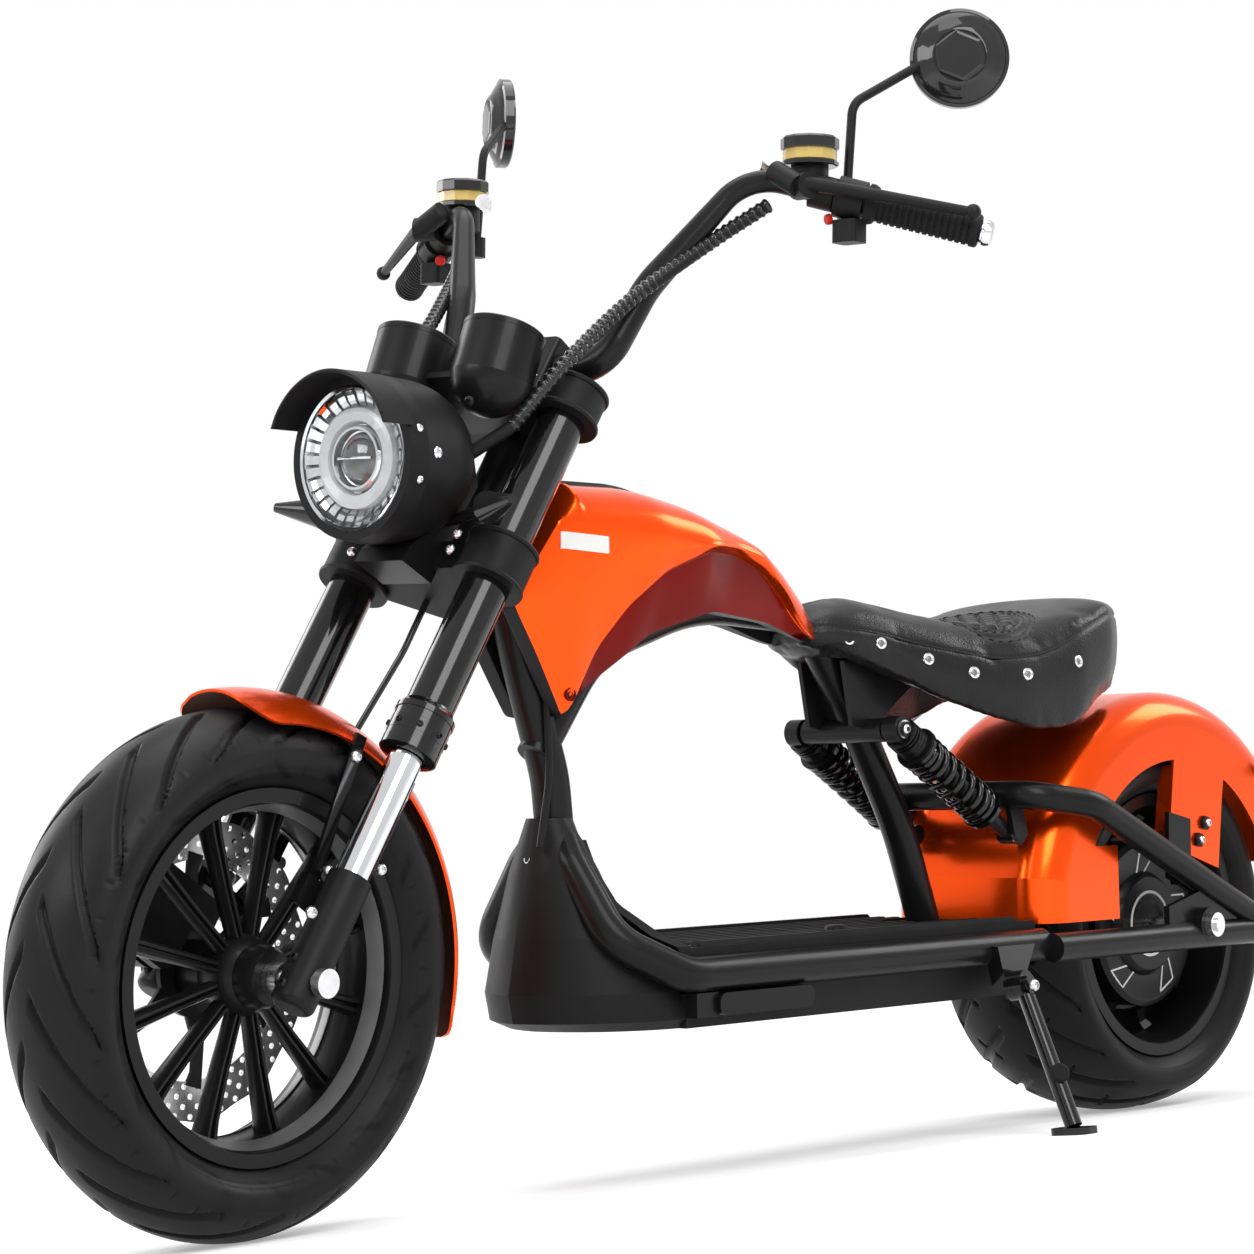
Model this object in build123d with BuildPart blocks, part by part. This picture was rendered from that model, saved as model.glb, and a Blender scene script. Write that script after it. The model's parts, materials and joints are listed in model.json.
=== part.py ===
from build123d import *
import os
from math import atan, cos, degrees, radians, sin, sqrt, tan

# Electric chopper scooter, leaning on its side stand. Lengths are millimetres.
# Every piece is drawn with the vehicle upright and steered straight ahead: forward is -Y,
# its left side is +X, up is +Z, and the drawing's origin is on the ground below the rear axle.
# The steered pieces are then turned to the angle at which the fork rests, everything leans
# onto the side stand, and the whole is moved so that its box stands centred on the origin.

# Stance
WHEELBASE = 1411
RAKE = 33
FORK_OFFSET = 45
REST_STEER = 5
LEAN = 5

# Clearances
RUNNING_FIT = 0.05
SEAT_GAP = 0.3

# Front wheel
FRONT_TYRE_R = 257
FRONT_TYRE_HALF = 65
FRONT_CROWN_R = 82
FRONT_SEAT_R = 172
FRONT_FLANGE_R = 181
FRONT_RIM_HALF = 47
FRONT_HUB_R = 30
FRONT_HUB_HALF = 54
FRONT_SPOKES = 12
FRONT_DISC_R = 150
FRONT_DISC_X = -61

# Rear wheel
REAR_TYRE_R = 237
REAR_TYRE_HALF = 106
REAR_CROWN_R = 200
REAR_TYRE_DEPTH = 82
REAR_SEAT_R = REAR_TYRE_R - REAR_TYRE_DEPTH
REAR_FLANGE_R = REAR_SEAT_R + 10
REAR_RIM_HALF = 90
REAR_MOTOR_R = REAR_SEAT_R - 51
REAR_MOTOR_HALF = 66
REAR_SPOKES = 10
REAR_DISC_R = REAR_MOTOR_R - 9
REAR_DISC_X = -84

RIM_WALL = 7
FLANGE_WALL = 5
DISC_THICK = 4
AXLE_R = 9
NUT_THICK = 10
BOSS_R = 21

# Fork and steering, with stations counted along the fork from the front axle
LEG_X = 95
LEG_R = 25
STANCHION_R = 17.5
LOWER_R = 22
LOWER_FOOT = -30
LOWER_TOP = 112
SEAL_FOOT = 252
SEAL_TOP = 300
SEAL_R = 30
LEG_TOP = 692
LOWER_CLAMP = 454
LOWER_CLAMP_THICK = 48
UPPER_CLAMP = 660
UPPER_CLAMP_THICK = 40
COLLAR_R = 37
CAP_R = 35
STEM_R = 17
HEAD_TUBE_R = 30
FRONT_AXLE_R = 10

# Frame
DOWN_TUBE_R = 21
ARCH_TUBE_R = 20
RAIL_R = 19
RAIL_X = 130
RAIL_Z = 228
RAIL_END_Y = -300
CROSS_TUBE_R = 14
SHOCK_X = 75
SHOCK_TOP_Y = -490
SHOCK_TOP_Z = 485
SHOCK_FOOT_Y = -284
SHOCK_FOOT_Z = 358
SWING_X = 150
SWING_R = 17
SWING_END_Y = 112
AXLE_HALF = SWING_X + SWING_R + SEAT_GAP + NUT_THICK + 4

# Floor and belly
TRAY_HALF = 122
TRAY_FLOOR_Z = 172
TRAY_TOP_Z = 208
DECK_Z = 236
MAT_TOP_Z = 256

# Body, seat and rear fender
BODY_HALF = 84
SEAT_HALF = 145
FENDER_HALF = 124
FENDER_R = REAR_TYRE_R + 55
FENDER_WALL = 4

# Side stand
STAND_PIVOT = (171, -391, 187)
STAND_FOOT_X = 250
STAND_FOOT_Y = -404
STAND_PIN_R = 6

FRONT_AXLE = Vector(0, -WHEELBASE, FRONT_TYRE_R)
REAR_AXLE = Vector(0, 0, REAR_TYRE_R)
ALONG = Vector(0, sin(radians(RAKE)), cos(radians(RAKE)))
AHEAD = Vector(0, -cos(radians(RAKE)), sin(radians(RAKE)))
FORK = Plane(origin=FRONT_AXLE, x_dir=(1, 0, 0), z_dir=ALONG)
STEERING_AXIS = Axis(FRONT_AXLE - AHEAD * FORK_OFFSET, ALONG)
SIDE = Plane.YZ


def fork_point(x, station, ahead=0):
    """A point of the fork from its side, its station along the legs and its distance ahead of them."""
    return FRONT_AXLE + Vector(x, 0, 0) + ALONG * station + AHEAD * ahead


def tube(points, bends, radius):
    """A round tube along straight runs joined by tangent arcs."""
    with BuildPart() as run:
        with BuildLine() as path:
            if bends:
                FilletPolyline(*points, radius=bends)
            else:
                Polyline(*points)
        with BuildSketch(Plane(origin=path.line @ 0, z_dir=path.line % 0)):
            Circle(radius)
        sweep()
    return run.part


def rod(start, end, radius, end_radius=None):
    """A straight round rod, or a cone where its end radius differs."""
    way = Vector(*end) - Vector(*start)
    with BuildPart(Plane(origin=start, z_dir=way)) as bar:
        if end_radius is None or end_radius == radius:
            Cylinder(radius, way.length, align=(Align.CENTER, Align.CENTER, Align.MIN))
        else:
            Cone(radius, end_radius, way.length, align=(Align.CENTER, Align.CENTER, Align.MIN))
    return bar.part


def swelling_tube(points, bends, radii):
    """A tube whose straight runs are cones between arcs; radii lists one per corner and end."""
    corners = [Vector(*point) for point in points]
    start = corners[0]
    with BuildPart() as run:
        for number, bend_r in enumerate(bends + [None]):
            corner = corners[number + 1]
            way = (corner - corners[number]).normalized()
            if bend_r is None:
                add(rod(start, corner, radii[number], radii[number + 1]))
                break
            onward = (corners[number + 2] - corner).normalized()
            reach = bend_r * tan(radians(way.get_angle(onward)) / 2)
            add(rod(start, corner - way * reach, radii[number], radii[number + 1]))
            with BuildLine():
                TangentArc(corner - way * reach, corner + onward * reach, tangent=way)
            with BuildSketch(Plane(origin=corner - way * reach, z_dir=way)):
                Circle(radii[number + 1])
            sweep()
            start = corner + onward * reach
    return run.part


def mirrored(part):
    """The same piece on the other side of the vehicle."""
    return part.mirror(Plane.YZ)


def outline(points):
    """A closed outline: two numbers are the end of a line, four the middle and end of an arc."""
    here = points[0]
    for leg in points[1:]:
        if len(leg) == 4:
            ThreePointArc(here, leg[:2], leg[2:])
        else:
            Line(here, leg)
        here = leg[-2:]
    if here != points[0]:
        Line(here, points[0])


def both_halves(half):
    """The whole outline from its half at positive x, which starts and ends on the middle line."""
    legs = []
    stops = [leg[-2:] for leg in half]
    for number in range(len(half) - 1, 0, -1):
        before = (-stops[number - 1][0], stops[number - 1][1])
        if len(half[number]) == 4:
            legs.append((-half[number][0], half[number][1]) + before)
        else:
            legs.append(before)
    return half + legs


def prism(plane, points, length):
    """A closed outline pulled out square to its plane."""
    with BuildPart() as body:
        with BuildSketch(plane):
            with BuildLine():
                outline(points)
            make_face()
        extrude(amount=length)
    return body.part


def meet(side, plan, front):
    """A solid that shows one outline from the side, one from above and one from the front."""
    reach = max(leg[-2] for leg in plan) + 5
    heights = [leg[-1] for leg in side]
    lengths = [leg[-2] for leg in side]
    with BuildPart() as body:
        add(prism(SIDE.offset(-reach), side, 2 * reach))
        add(prism(Plane.XY.offset(min(heights) - 30), both_halves(plan), max(heights) - min(heights) + 60),
            mode=Mode.INTERSECT)
        add(prism(Plane.XZ.offset(-max(lengths) - 30), both_halves(front), max(lengths) - min(lengths) + 60),
            mode=Mode.INTERSECT)
    return body.part


def wheel_plane(centre):
    """The plane of a wheel, seen from the vehicle's left."""
    return Plane(origin=centre, x_dir=(0, 1, 0), z_dir=(1, 0, 0))


def across_plane(centre):
    """The plane through a wheel's axle in which its section is drawn: x along the axle, y outwards."""
    return Plane(origin=centre, x_dir=(1, 0, 0), z_dir=(0, -1, 0))


def tyre(centre, radius, half_width, crown_r, seat_r, flange_r, rim_half):
    """A tyre as one ring: a round crown, full side walls and beads between the rim's flanges."""
    shoulder_x = 0.86 * half_width
    shoulder_r = radius - crown_r + sqrt(crown_r**2 - shoulder_x**2)
    bead_x = rim_half - FLANGE_WALL - SEAT_GAP
    bulge_r = (shoulder_r + flange_r) / 2
    with BuildPart() as ring:
        with BuildSketch(across_plane(centre)):
            with BuildLine():
                ThreePointArc((-shoulder_x, shoulder_r), (0, radius), (shoulder_x, shoulder_r))
                ThreePointArc((shoulder_x, shoulder_r), (half_width, bulge_r), (bead_x, flange_r))
                Polyline((bead_x, flange_r), (bead_x, seat_r + SEAT_GAP), (-bead_x, seat_r + SEAT_GAP),
                         (-bead_x, flange_r))
                ThreePointArc((-bead_x, flange_r), (-half_width, bulge_r), (-shoulder_x, shoulder_r))
            make_face()
        revolve(axis=Axis(centre, (1, 0, 0)))
    return ring.part


def rim_ring(centre, seat_r, flange_r, half_width):
    """A rim's barrel with a flange at each side."""
    with BuildPart() as ring:
        with BuildSketch(across_plane(centre)):
            with Locations((0, seat_r - RIM_WALL / 2)):
                Rectangle(2 * half_width, RIM_WALL)
            flange_reach = flange_r - seat_r + RIM_WALL
            flange_x = half_width - FLANGE_WALL / 2
            with Locations((flange_x, flange_r - flange_reach / 2), (-flange_x, flange_r - flange_reach / 2)):
                Rectangle(FLANGE_WALL, flange_reach)
        revolve(axis=Axis(centre, (1, 0, 0)))
    return ring.part


# Where each body stands: the steered pieces turn on the steering axis, then all leans and pitches
# until both tyres and the stand's foot reach one level
steer_frame = Plane(origin=STEERING_AXIS.position, x_dir=(1, 0, 0), z_dir=ALONG).location
steer_turn = steer_frame * Rotation(0, 0, REST_STEER) * steer_frame.inverse()
lean_turn = Rotation(0, LEAN, 0)


def tyre_low(place, centre, radius, crown_r):
    """The height of a placed tyre's lowest point."""
    hub = (place * Location(centre)).position
    axle_way = (place * Location(centre + Vector(1, 0, 0))).position - hub
    return hub.Z - (radius - crown_r) * sqrt(1 - axle_way.Z**2) - crown_r


front_low = tyre_low(lean_turn * steer_turn, FRONT_AXLE, FRONT_TYRE_R, FRONT_CROWN_R)
rear_low = tyre_low(lean_turn, REAR_AXLE, REAR_TYRE_R, REAR_CROWN_R)
pitch = degrees(atan((front_low - rear_low) / WHEELBASE))
stance = Rotation(pitch, 0, 0) * lean_turn
road_z = tyre_low(stance, REAR_AXLE, REAR_TYRE_R, REAR_CROWN_R)
ROAD = Plane(stance.inverse() * Location((0, 0, road_z)))

# Front wheel: tyre, spoked rim and brake disc
front_tyre = tyre(FRONT_AXLE, FRONT_TYRE_R, FRONT_TYRE_HALF, FRONT_CROWN_R, FRONT_SEAT_R, FRONT_FLANGE_R,
                  FRONT_RIM_HALF)
front_barrel = rim_ring(FRONT_AXLE, FRONT_SEAT_R, FRONT_FLANGE_R, FRONT_RIM_HALF)
SPOKE_WIDTH = 13
SPOKE_HALF = 9
with BuildPart() as front_rim:
    add(front_barrel)
    with BuildSketch(wheel_plane(FRONT_AXLE).offset(-FRONT_HUB_HALF)):
        Circle(FRONT_HUB_R)
    extrude(amount=2 * FRONT_HUB_HALF)
    with BuildSketch(wheel_plane(FRONT_AXLE).offset(-SPOKE_HALF)):
        spoke_foot = FRONT_HUB_R - 5
        spoke_reach = FRONT_SEAT_R - RIM_WALL + 1 - spoke_foot
        with PolarLocations(spoke_foot + spoke_reach / 2, FRONT_SPOKES, start_angle=15):
            Rectangle(spoke_reach, SPOKE_WIDTH)
    extrude(amount=2 * SPOKE_HALF)
    with BuildSketch(wheel_plane(FRONT_AXLE).offset(-FRONT_HUB_HALF)):
        Circle(FRONT_AXLE_R + RUNNING_FIT)
    extrude(amount=2 * FRONT_HUB_HALF, mode=Mode.SUBTRACT)


def brake_disc(centre, disc_x, radius, hub_r, slots):
    """A flat disc with a slotted rub ring and a wide window between ring and carrier."""
    ring = 0.26 * radius
    with BuildPart() as disc:
        with BuildSketch(wheel_plane(centre).offset(disc_x)):
            Circle(radius)
            Circle(hub_r, mode=Mode.SUBTRACT)
            with PolarLocations((radius - ring + hub_r) / 2 + 6, 6):
                SlotOverall(1.05 * (radius - hub_r) / 2, 0.3 * radius, mode=Mode.SUBTRACT)
            with PolarLocations(radius - ring / 2, slots):
                Circle(0.028 * radius, mode=Mode.SUBTRACT)
        extrude(amount=DISC_THICK)
    return disc.part


front_disc = brake_disc(FRONT_AXLE, FRONT_DISC_X, FRONT_DISC_R, FRONT_AXLE_R + 4, 24)
with BuildPart() as front_disc_carrier:
    with BuildSketch(wheel_plane(FRONT_AXLE).offset(FRONT_DISC_X + DISC_THICK)):
        Circle(FRONT_HUB_R)
        Circle(FRONT_AXLE_R + 4, mode=Mode.SUBTRACT)
    extrude(amount=-FRONT_HUB_HALF - FRONT_DISC_X - DISC_THICK)
with BuildPart() as front_brake_disc:
    add(front_disc)
    add(front_disc_carrier.part)

# Rear wheel: tyre, rim with its hub motor and brake disc
rear_tyre = tyre(REAR_AXLE, REAR_TYRE_R, REAR_TYRE_HALF, REAR_CROWN_R, REAR_SEAT_R, REAR_FLANGE_R,
                 REAR_RIM_HALF)
rear_barrel = rim_ring(REAR_AXLE, REAR_SEAT_R, REAR_FLANGE_R, REAR_RIM_HALF)
REAR_SPOKE_WIDTH = 16
with BuildPart() as rear_rim:
    add(rear_barrel)
    with BuildSketch(wheel_plane(REAR_AXLE).offset(-REAR_MOTOR_HALF / 2)):
        rear_reach = REAR_SEAT_R - RIM_WALL + 1 - REAR_MOTOR_R + 3
        with PolarLocations(REAR_MOTOR_R - 3 + rear_reach / 2, REAR_SPOKES):
            Rectangle(rear_reach, REAR_SPOKE_WIDTH)
        Circle(REAR_MOTOR_R + 4)
        Circle(REAR_MOTOR_R + SEAT_GAP, mode=Mode.SUBTRACT)
    extrude(amount=REAR_MOTOR_HALF)
MOTOR_COVER_R = 62
MOTOR_COVER_STEP = 9
with BuildPart() as hub_motor:
    with BuildSketch(wheel_plane(REAR_AXLE).offset(-REAR_MOTOR_HALF)):
        Circle(REAR_MOTOR_R)
    extrude(amount=2 * REAR_MOTOR_HALF)
    with BuildSketch(wheel_plane(REAR_AXLE).offset(-REAR_MOTOR_HALF - MOTOR_COVER_STEP)):
        Circle(MOTOR_COVER_R)
    extrude(amount=2 * (REAR_MOTOR_HALF + MOTOR_COVER_STEP))
    with BuildSketch(wheel_plane(REAR_AXLE).offset(-AXLE_HALF)):
        Circle(AXLE_R + RUNNING_FIT)
    extrude(amount=2 * AXLE_HALF, mode=Mode.SUBTRACT)
rear_disc = brake_disc(REAR_AXLE, REAR_DISC_X, REAR_DISC_R, AXLE_R + 6, 16)
with BuildPart() as rear_brake_disc:
    add(rear_disc)
    with BuildSketch(wheel_plane(REAR_AXLE).offset(REAR_DISC_X + DISC_THICK)):
        Circle(30)
        Circle(AXLE_R + 6, mode=Mode.SUBTRACT)
    extrude(amount=-REAR_MOTOR_HALF - MOTOR_COVER_STEP - REAR_DISC_X - DISC_THICK)

# Front axle with its spacers and heads
SPACER_R = 16
with BuildPart(wheel_plane(FRONT_AXLE)) as front_axle:
    Cylinder(FRONT_AXLE_R, 2 * (LEG_X + LOWER_R + 8))
    spacer = LEG_X - LOWER_R - SEAT_GAP - FRONT_HUB_HALF - SEAT_GAP
    with Locations((0, 0, FRONT_HUB_HALF + SEAT_GAP + spacer / 2)):
        Cylinder(SPACER_R, spacer)
    right_spacer = LEG_X - LOWER_R - SEAT_GAP + FRONT_DISC_X - SEAT_GAP
    with Locations((0, 0, FRONT_DISC_X - SEAT_GAP - right_spacer / 2)):
        Cylinder(SPACER_R - 3, right_spacer)
    with Locations((0, 0, LEG_X + LOWER_R + 8), (0, 0, -LEG_X - LOWER_R - 8)):
        Cylinder(14, 10)

# Fork lowers: round castings that hold the axle, with a lug for the fender straps
with BuildPart() as left_lower:
    with BuildSketch(FORK.offset(LOWER_FOOT)):
        with Locations((LEG_X, 0)):
            Circle(LOWER_R)
    extrude(amount=LOWER_TOP - LOWER_FOOT)
    fillet(left_lower.faces().sort_by(Axis.Z)[0].edges(), 8)
    with BuildSketch(FORK.offset(LOWER_TOP - 14)):
        with Locations((LEG_X, 0)):
            Circle(STANCHION_R + RUNNING_FIT)
    extrude(amount=20, mode=Mode.SUBTRACT)
    with BuildSketch(wheel_plane(FRONT_AXLE)):
        Circle(FRONT_AXLE_R + RUNNING_FIT)
    extrude(amount=200, mode=Mode.SUBTRACT)
fork_lowers = Compound(children=[left_lower.part, mirrored(left_lower.part)])

with BuildPart() as stanchions:
    with BuildSketch(FORK.offset(LOWER_TOP - 14)):
        with Locations((LEG_X, 0), (-LEG_X, 0)):
            Circle(STANCHION_R)
    extrude(amount=SEAL_FOOT + 20 - LOWER_TOP + 14)

with BuildPart() as fork_tubes:
    with BuildSketch(FORK.offset(SEAL_FOOT)):
        with Locations((LEG_X, 0), (-LEG_X, 0)):
            Circle(SEAL_R)
    extrude(amount=SEAL_TOP - SEAL_FOOT)
    chamfer(fork_tubes.edges().filter_by(GeomType.CIRCLE), 4)
    with BuildSketch(FORK.offset(SEAL_TOP - 1)):
        with Locations((LEG_X, 0), (-LEG_X, 0)):
            Circle(LEG_R)
    extrude(amount=LEG_TOP - SEAL_TOP + 1)
    with BuildSketch(FORK.offset(SEAL_FOOT)):
        with Locations((LEG_X, 0), (-LEG_X, 0)):
            Circle(STANCHION_R + RUNNING_FIT)
    extrude(amount=20, mode=Mode.SUBTRACT)


def yoke(station, thick, collar_r, waist):
    """One clamp of the fork: a collar for each leg joined past the stem."""
    with BuildPart() as clamp:
        with BuildSketch(FORK.offset(station + thick * 0.15)):
            with BuildLine():
                Polyline((-LEG_X, -waist), (LEG_X, -waist), (LEG_X, waist),
                         (STEM_R, FORK_OFFSET + STEM_R + 10),
                         (-STEM_R, FORK_OFFSET + STEM_R + 10), (-LEG_X, waist), close=True)
            make_face()
        extrude(amount=thick * 0.7)
        with BuildSketch(FORK.offset(station)):
            with Locations((LEG_X, 0), (-LEG_X, 0)):
                Circle(collar_r)
        extrude(amount=thick)
    return clamp.part


lower_yoke = yoke(LOWER_CLAMP, LOWER_CLAMP_THICK, COLLAR_R, 22)
upper_yoke = yoke(UPPER_CLAMP, UPPER_CLAMP_THICK, CAP_R, 20)
with BuildPart() as triple_clamps:
    add(lower_yoke)
    add(upper_yoke)
    with BuildSketch(FORK.offset(LOWER_CLAMP + 10)):
        with Locations((0, FORK_OFFSET)):
            Circle(STEM_R)
    extrude(amount=UPPER_CLAMP - LOWER_CLAMP)
    with BuildSketch(FORK.offset(LOWER_CLAMP - 1)):
        with Locations((LEG_X, 0), (-LEG_X, 0)):
            Circle(LEG_R + RUNNING_FIT)
    extrude(amount=LEG_TOP - LOWER_CLAMP + 1, mode=Mode.SUBTRACT)

# Main frame: head tube, down tube, arch with the seat post, floor rails and cross tube
head_foot = LOWER_CLAMP + LOWER_CLAMP_THICK * 0.85 + SEAT_GAP
head_top = UPPER_CLAMP + UPPER_CLAMP_THICK * 0.15 - SEAT_GAP
DOWN_TUBE_ROUTE = [(0, -1079, 690), (0, -1040, 640), (0, -1012, 545), (0, -978, 440), (0, -972, 372)]
ARCH_ROUTE = [(0, -1000, 462), (0, -912, 576), (0, -745, 630), (0, -562, 617), (0, -478, 500),
              (0, -402, 372), (0, -352, 236)]
RAIL_ROUTE = [(0, -972, 392), (34, -984, 348), (92, -982, 268), (RAIL_X, -912, RAIL_Z),
              (RAIL_X, RAIL_END_Y, RAIL_Z)]
down_tube = tube(DOWN_TUBE_ROUTE, [60, 250, 150], DOWN_TUBE_R)
arch_tube = tube(ARCH_ROUTE, [160, 320, 110, 500, 500], ARCH_TUBE_R)
left_rail = tube(RAIL_ROUTE, [50, 60, 55], RAIL_R)
cross_tube = rod((-SHOCK_X - 16, SHOCK_TOP_Y, SHOCK_TOP_Z), (SHOCK_X + 16, SHOCK_TOP_Y, SHOCK_TOP_Z),
                 CROSS_TUBE_R - 5)
cross_sleeve = rod((-SHOCK_X + 14, SHOCK_TOP_Y, SHOCK_TOP_Z), (SHOCK_X - 14, SHOCK_TOP_Y, SHOCK_TOP_Z),
                   CROSS_TUBE_R)
floor_beam = rod((-RAIL_X, -352, RAIL_Z), (RAIL_X, -352, RAIL_Z), 14)
with BuildPart() as main_frame:
    with BuildSketch(FORK.offset(head_foot)):
        with Locations((0, FORK_OFFSET)):
            Circle(HEAD_TUBE_R)
    extrude(amount=head_top - head_foot)
    add(down_tube)
    add(arch_tube)
    add(left_rail)
    add(mirrored(left_rail))
    add(cross_sleeve)
    add(cross_tube)
    add(floor_beam)
    with BuildSketch(FORK.offset(head_foot - 20)):
        with Locations((0, FORK_OFFSET)):
            Circle(STEM_R + RUNNING_FIT)
    extrude(amount=head_top - head_foot + 40, mode=Mode.SUBTRACT)

# Rear swingarm: loop over the tyre's front, lower tubes and axle plates
LOOP_Z = [REAR_TYRE_R + 7, REAR_TYRE_R + 155, REAR_TYRE_R + 168]
LOOP_ROUTE = [(SWING_X, SWING_END_Y, LOOP_Z[0]), (SWING_X, -215, LOOP_Z[1]), (118, -297, LOOP_Z[2]),
              (-118, -297, LOOP_Z[2]), (-SWING_X, -215, LOOP_Z[1]), (-SWING_X, SWING_END_Y, LOOP_Z[0])]
loop_tube = tube(LOOP_ROUTE, [60, 40, 40, 60], SWING_R)
LOWER_TUBE_Z = REAR_TYRE_R - 13
lower_run = rod((SWING_X, RAIL_END_Y - 4, LOWER_TUBE_Z), (SWING_X, SWING_END_Y, LOWER_TUBE_Z), SWING_R)
PLATE_THICK = 8
with BuildPart() as left_plate:
    with BuildSketch(SIDE.offset(SWING_X - PLATE_THICK / 2)):
        with BuildLine():
            Polyline((-70, LOWER_TUBE_Z), (SWING_END_Y - 10, LOWER_TUBE_Z),
                     (SWING_END_Y - 10, REAR_TYRE_R + 11), (20, REAR_TYRE_R + 47),
                     (-70, REAR_TYRE_R + 25), close=True)
        make_face()
    extrude(amount=PLATE_THICK)
    with BuildSketch(SIDE.offset(SWING_X - PLATE_THICK / 2)):
        with Locations((0, REAR_TYRE_R)):
            Circle(BOSS_R)
    extrude(amount=PLATE_THICK / 2 + SWING_R)
LUG_THICK = 8
with BuildPart() as left_lug:
    with BuildSketch(SIDE.offset(SHOCK_X + 11)):
        with BuildLine():
            Polyline((-309, 405), (-285, 405), (SHOCK_FOOT_Y + 13, SHOCK_FOOT_Z),
                     (SHOCK_FOOT_Y, SHOCK_FOOT_Z - 13),
                     (SHOCK_FOOT_Y - 13, SHOCK_FOOT_Z), close=True)
        make_face()
    extrude(amount=LUG_THICK)
    with BuildSketch(SIDE.offset(SHOCK_X - 11)):
        with Locations((SHOCK_FOOT_Y, SHOCK_FOOT_Z)):
            Circle(6)
    extrude(amount=24)
FENDER_PLATE_THICK = 6
with BuildPart() as left_fender_plate:
    with BuildSketch(SIDE.offset(FENDER_HALF + SEAT_GAP)):
        with BuildLine():
            Polyline((-34, 296), (14, 276), (16, 368), (-30, 378), close=True)
        make_face()
    extrude(amount=FENDER_PLATE_THICK)
    with BuildSketch(SIDE.offset(FENDER_HALF + SEAT_GAP)):
        with Locations((-8, 296)):
            Rectangle(30, 18)
    extrude(amount=SWING_X - FENDER_HALF - SEAT_GAP - 8)
with BuildPart() as rear_swingarm:
    add(loop_tube)
    for side_part in (lower_run, left_plate.part, left_lug.part, left_fender_plate.part):
        add(side_part)
        add(mirrored(side_part))
    add(main_frame.part, mode=Mode.SUBTRACT)
    with BuildSketch(wheel_plane(REAR_AXLE).offset(-AXLE_HALF)):
        Circle(AXLE_R + RUNNING_FIT)
    extrude(amount=2 * AXLE_HALF, mode=Mode.SUBTRACT)

with BuildPart(wheel_plane(REAR_AXLE)) as rear_axle:
    Cylinder(AXLE_R, 2 * AXLE_HALF)
    nut_x = SWING_X + SWING_R + SEAT_GAP + NUT_THICK / 2
    with Locations((0, 0, nut_x), (0, 0, -nut_x)):
        Cylinder(15, NUT_THICK)

# Belly: a tray below the floor rails with the nose in front of them, and the battery inside it
BATTERY_HALF = 92
BATTERY_Y = (-860, -440)
BATTERY_FLOOR_Z = 178
NOSE_BACK_Y = -864
NOSE_SECTIONS = [
    (396, 24, 120, 140), (340, 56, 104, 154), (270, 88, 76, 170), (212, 112, 41, 182), (182, 120, 16, 176),
    (TRAY_FLOOR_Z, 112, 16, 146),
]
with BuildPart() as nose:
    for height, half, side_run, front_run in NOSE_SECTIONS:
        side_y = NOSE_BACK_Y - side_run
        front_y = NOSE_BACK_Y - front_run
        with BuildSketch(Plane.XY.offset(height)):
            with BuildLine():
                bend_y = front_y + 0.3 * (side_y - front_y)
                Line((-half, NOSE_BACK_Y), (-half, side_y))
                ThreePointArc((-half, side_y), (-0.72 * half, bend_y), (0, front_y))
                ThreePointArc((0, front_y), (0.72 * half, bend_y), (half, side_y))
                Line((half, side_y), (half, NOSE_BACK_Y))
                Line((half, NOSE_BACK_Y), (-half, NOSE_BACK_Y))
            make_face()
    loft(ruled=True)
FOOT_WELL = [(-985, 430), (-968, 370), (-957, 300), (-936, 240), (-936, 234), (-900, TRAY_TOP_Z),
             (-800, TRAY_TOP_Z), (-800, 430)]
TRAY_SIDE = [(-905, TRAY_FLOOR_Z), (-905, TRAY_TOP_Z), (RAIL_END_Y - 30, TRAY_TOP_Z), (RAIL_END_Y - 30, 184),
             (RAIL_END_Y - 60, TRAY_FLOOR_Z)]
with BuildPart() as belly_tray:
    add(nose.part)
    add(prism(SIDE.offset(-TRAY_HALF), FOOT_WELL, 2 * TRAY_HALF), mode=Mode.SUBTRACT)
    add(prism(SIDE.offset(-TRAY_HALF), TRAY_SIDE, 2 * TRAY_HALF))
    with BuildSketch(Plane.XY.offset(BATTERY_FLOOR_Z + 3)):
        with Locations((0, sum(BATTERY_Y) / 2)):
            Rectangle(2 * (BATTERY_HALF + SEAT_GAP), BATTERY_Y[1] - BATTERY_Y[0] + 2 * SEAT_GAP)
    extrude(amount=60, mode=Mode.SUBTRACT)
    add(main_frame.part, mode=Mode.SUBTRACT)
with BuildPart() as battery:
    with BuildSketch(Plane.XY.offset(BATTERY_FLOOR_Z + 3 + SEAT_GAP)):
        with Locations((0, sum(BATTERY_Y) / 2)):
            Rectangle(2 * BATTERY_HALF, BATTERY_Y[1] - BATTERY_Y[0])
    extrude(amount=DECK_Z - SEAT_GAP - BATTERY_FLOOR_Z - 3 - SEAT_GAP)

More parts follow.
